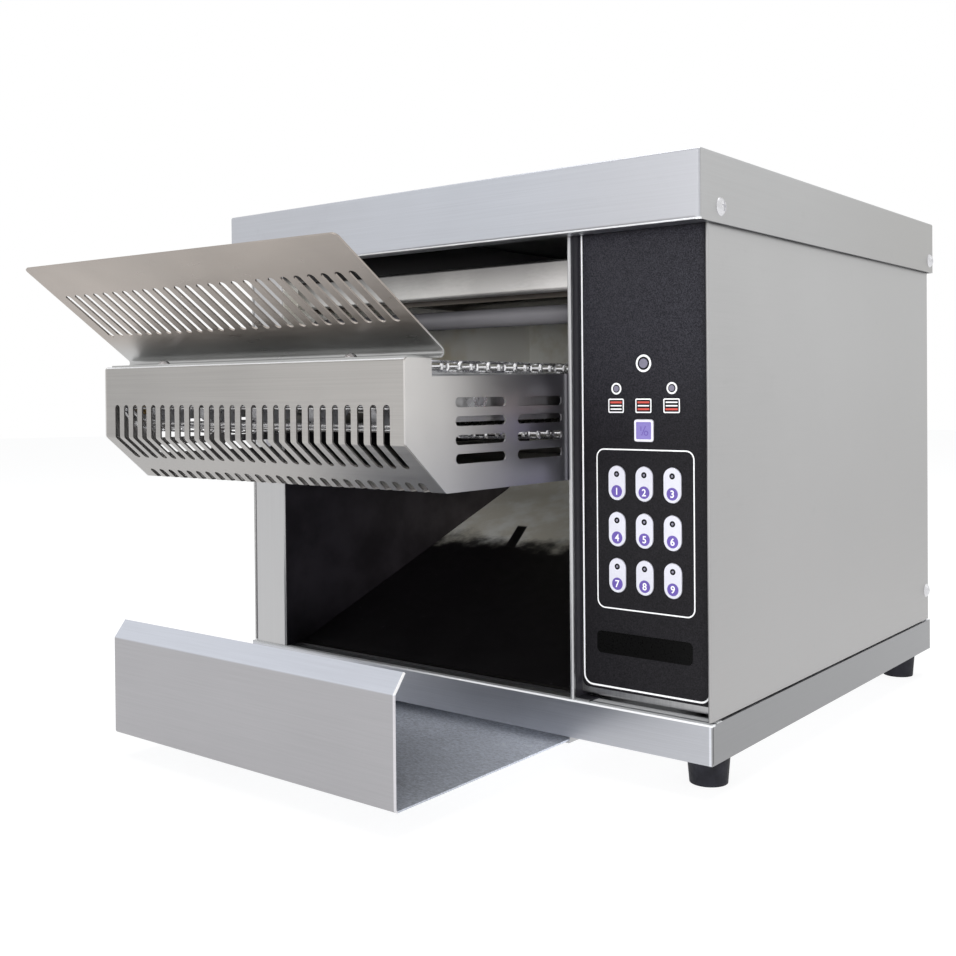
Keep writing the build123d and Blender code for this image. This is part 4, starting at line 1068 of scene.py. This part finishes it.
# Each lamp: its name, place, the point it faces, its size, its power, and whether steel
# mirrors it.
LAMPS = (
    ("key_light", (1.36, -1.85, 0.27), (0, -0.1, 0.2), (0.9, 0.4), 40, False),
    ("left_light", (-0.5, -2.2, 0.7), (0, -0.1, 0.2), (0.8, 0.8), 2, True),
    ("side_light", (1.5, 1.3, 1.0), (0.1, 0.1, 0.2), (1.0, 1.0), 1, True),
    ("top_light", (0.0, 0.0, 2.0), (0, 0, 0.2), (1.6, 1.6), 24, True),
)

CAMERA_PLACE = (469.43, -538.74, 217.64)
CAMERA_TURN = math.radians(38.226)
CAMERA_DOWN = math.radians(0.700)
CAMERA_ROLL = math.radians(-0.495)
CAMERA_LENS = 43.983
CAMERA_SENSOR = 36.0
CAMERA_SHIFT = (-0.01004, -0.07369)


def maximum(tree, first, second):
    node = tree.nodes.new("ShaderNodeMath")
    node.operation = "MAXIMUM"
    tree.links.new(first, node.inputs[0])
    tree.links.new(second, node.inputs[1])
    return node.outputs[0]


def mixed_shader(tree, share, first, second):
    node = tree.nodes.new("ShaderNodeMixShader")
    tree.links.new(share, node.inputs[0])
    tree.links.new(first, node.inputs[1])
    tree.links.new(second, node.inputs[2])
    return node.outputs[0]


def floor_material():
    """A matt floor that partly shines by itself where it is seen, so that it reads white."""
    material = bpy.data.materials.new("floor_white")
    material.use_nodes = True
    tree = material.node_tree
    tree.nodes.clear()
    output = tree.nodes.new("ShaderNodeOutputMaterial")
    matt = tree.nodes.new("ShaderNodeBsdfDiffuse")
    matt.inputs["Color"].default_value = FLOOR_WHITE
    shining = tree.nodes.new("ShaderNodeEmission")
    shining.inputs["Strength"].default_value = FLOOR_GLOW
    ray = tree.nodes.new("ShaderNodeLightPath")
    share = tree.nodes.new("ShaderNodeMath")
    share.operation = "MULTIPLY"
    share.inputs[1].default_value = FLOOR_GLOW_SHARE
    seen = maximum(tree, ray.outputs["Is Camera Ray"], ray.outputs["Is Glossy Ray"])
    tree.links.new(seen, share.inputs[0])
    mixed = mixed_shader(tree, share.outputs[0], matt.outputs[0], shining.outputs[0])
    tree.links.new(mixed, output.inputs["Surface"])
    return material


def floor():
    mesh = bmesh.new()
    mesh.faces.new([mesh.verts.new((x, y, 0)) for x, y in circle(FLOOR_RADIUS)])
    data = bpy.data.meshes.new("floor")
    mesh.to_mesh(data)
    mesh.free()
    made = bpy.data.objects.new("floor", data)
    made.location.z = -FLOOR_DROP
    bpy.context.scene.collection.objects.link(made)
    data.materials.append(floor_material())


def world():
    """White where the camera or a mirroring surface sees it, and a dimmer, cooler light elsewhere."""
    made = bpy.data.worlds.new("studio")
    bpy.context.scene.world = made
    made.use_nodes = True
    tree = made.node_tree
    tree.nodes.clear()
    output = tree.nodes.new("ShaderNodeOutputWorld")
    seen_light = tree.nodes.new("ShaderNodeBackground")
    seen_light.inputs["Color"].default_value = SKY_SEEN
    seen_light.inputs["Strength"].default_value = 1.0
    soft_light = tree.nodes.new("ShaderNodeBackground")
    soft_light.inputs["Color"].default_value = SKY_LIGHT
    soft_light.inputs["Strength"].default_value = SKY_LIGHT_STRENGTH
    ray = tree.nodes.new("ShaderNodeLightPath")
    seen = maximum(tree, ray.outputs["Is Camera Ray"], ray.outputs["Is Glossy Ray"])
    seen = maximum(tree, seen, ray.outputs["Is Transmission Ray"])
    mixed = mixed_shader(tree, seen, soft_light.outputs[0], seen_light.outputs[0])
    tree.links.new(mixed, output.inputs["Surface"])


def softbox(name, position, target, size, power, mirrored):
    """A soft lamp; one that is not mirrored lights matt surfaces and leaves no glare on steel."""
    data = bpy.data.lights.new(name, "AREA")
    data.shape = "RECTANGLE"
    data.size, data.size_y = size
    data.energy = power
    made = bpy.data.objects.new(name, data)
    bpy.context.scene.collection.objects.link(made)
    made.location = position
    made.visible_glossy = mirrored
    aim = Vector(target) - Vector(position)
    made.rotation_mode = "QUATERNION"
    made.rotation_quaternion = aim.to_track_quat("-Z", "Y")


def camera():
    """The photo's camera, worked out from the object's straight edges."""
    data = bpy.data.cameras.new("camera")
    data.sensor_width = CAMERA_SENSOR
    data.lens = CAMERA_LENS
    data.shift_x, data.shift_y = CAMERA_SHIFT
    data.clip_start, data.clip_end = 0.01, 50.0
    sine, cosine, level = math.sin(CAMERA_TURN), math.cos(CAMERA_TURN), math.cos(CAMERA_DOWN)
    ahead = Vector((-sine * level, cosine * level, -math.sin(CAMERA_DOWN)))
    right = Vector((cosine, sine, 0.0))
    above = right.cross(ahead)
    rolled_right = math.cos(CAMERA_ROLL) * right + math.sin(CAMERA_ROLL) * above
    rolled_above = -math.sin(CAMERA_ROLL) * right + math.cos(CAMERA_ROLL) * above
    columns = Matrix((rolled_right, rolled_above, -ahead)).transposed().to_4x4()
    made = bpy.data.objects.new("camera", data)
    bpy.context.scene.collection.objects.link(made)
    made.matrix_world = Matrix.Translation(spot(*CAMERA_PLACE)) @ columns
    bpy.context.scene.camera = made


floor()
world()
for lamp in LAMPS:
    softbox(*lamp)
camera()
bpy.context.scene.view_settings.view_transform = "Standard"
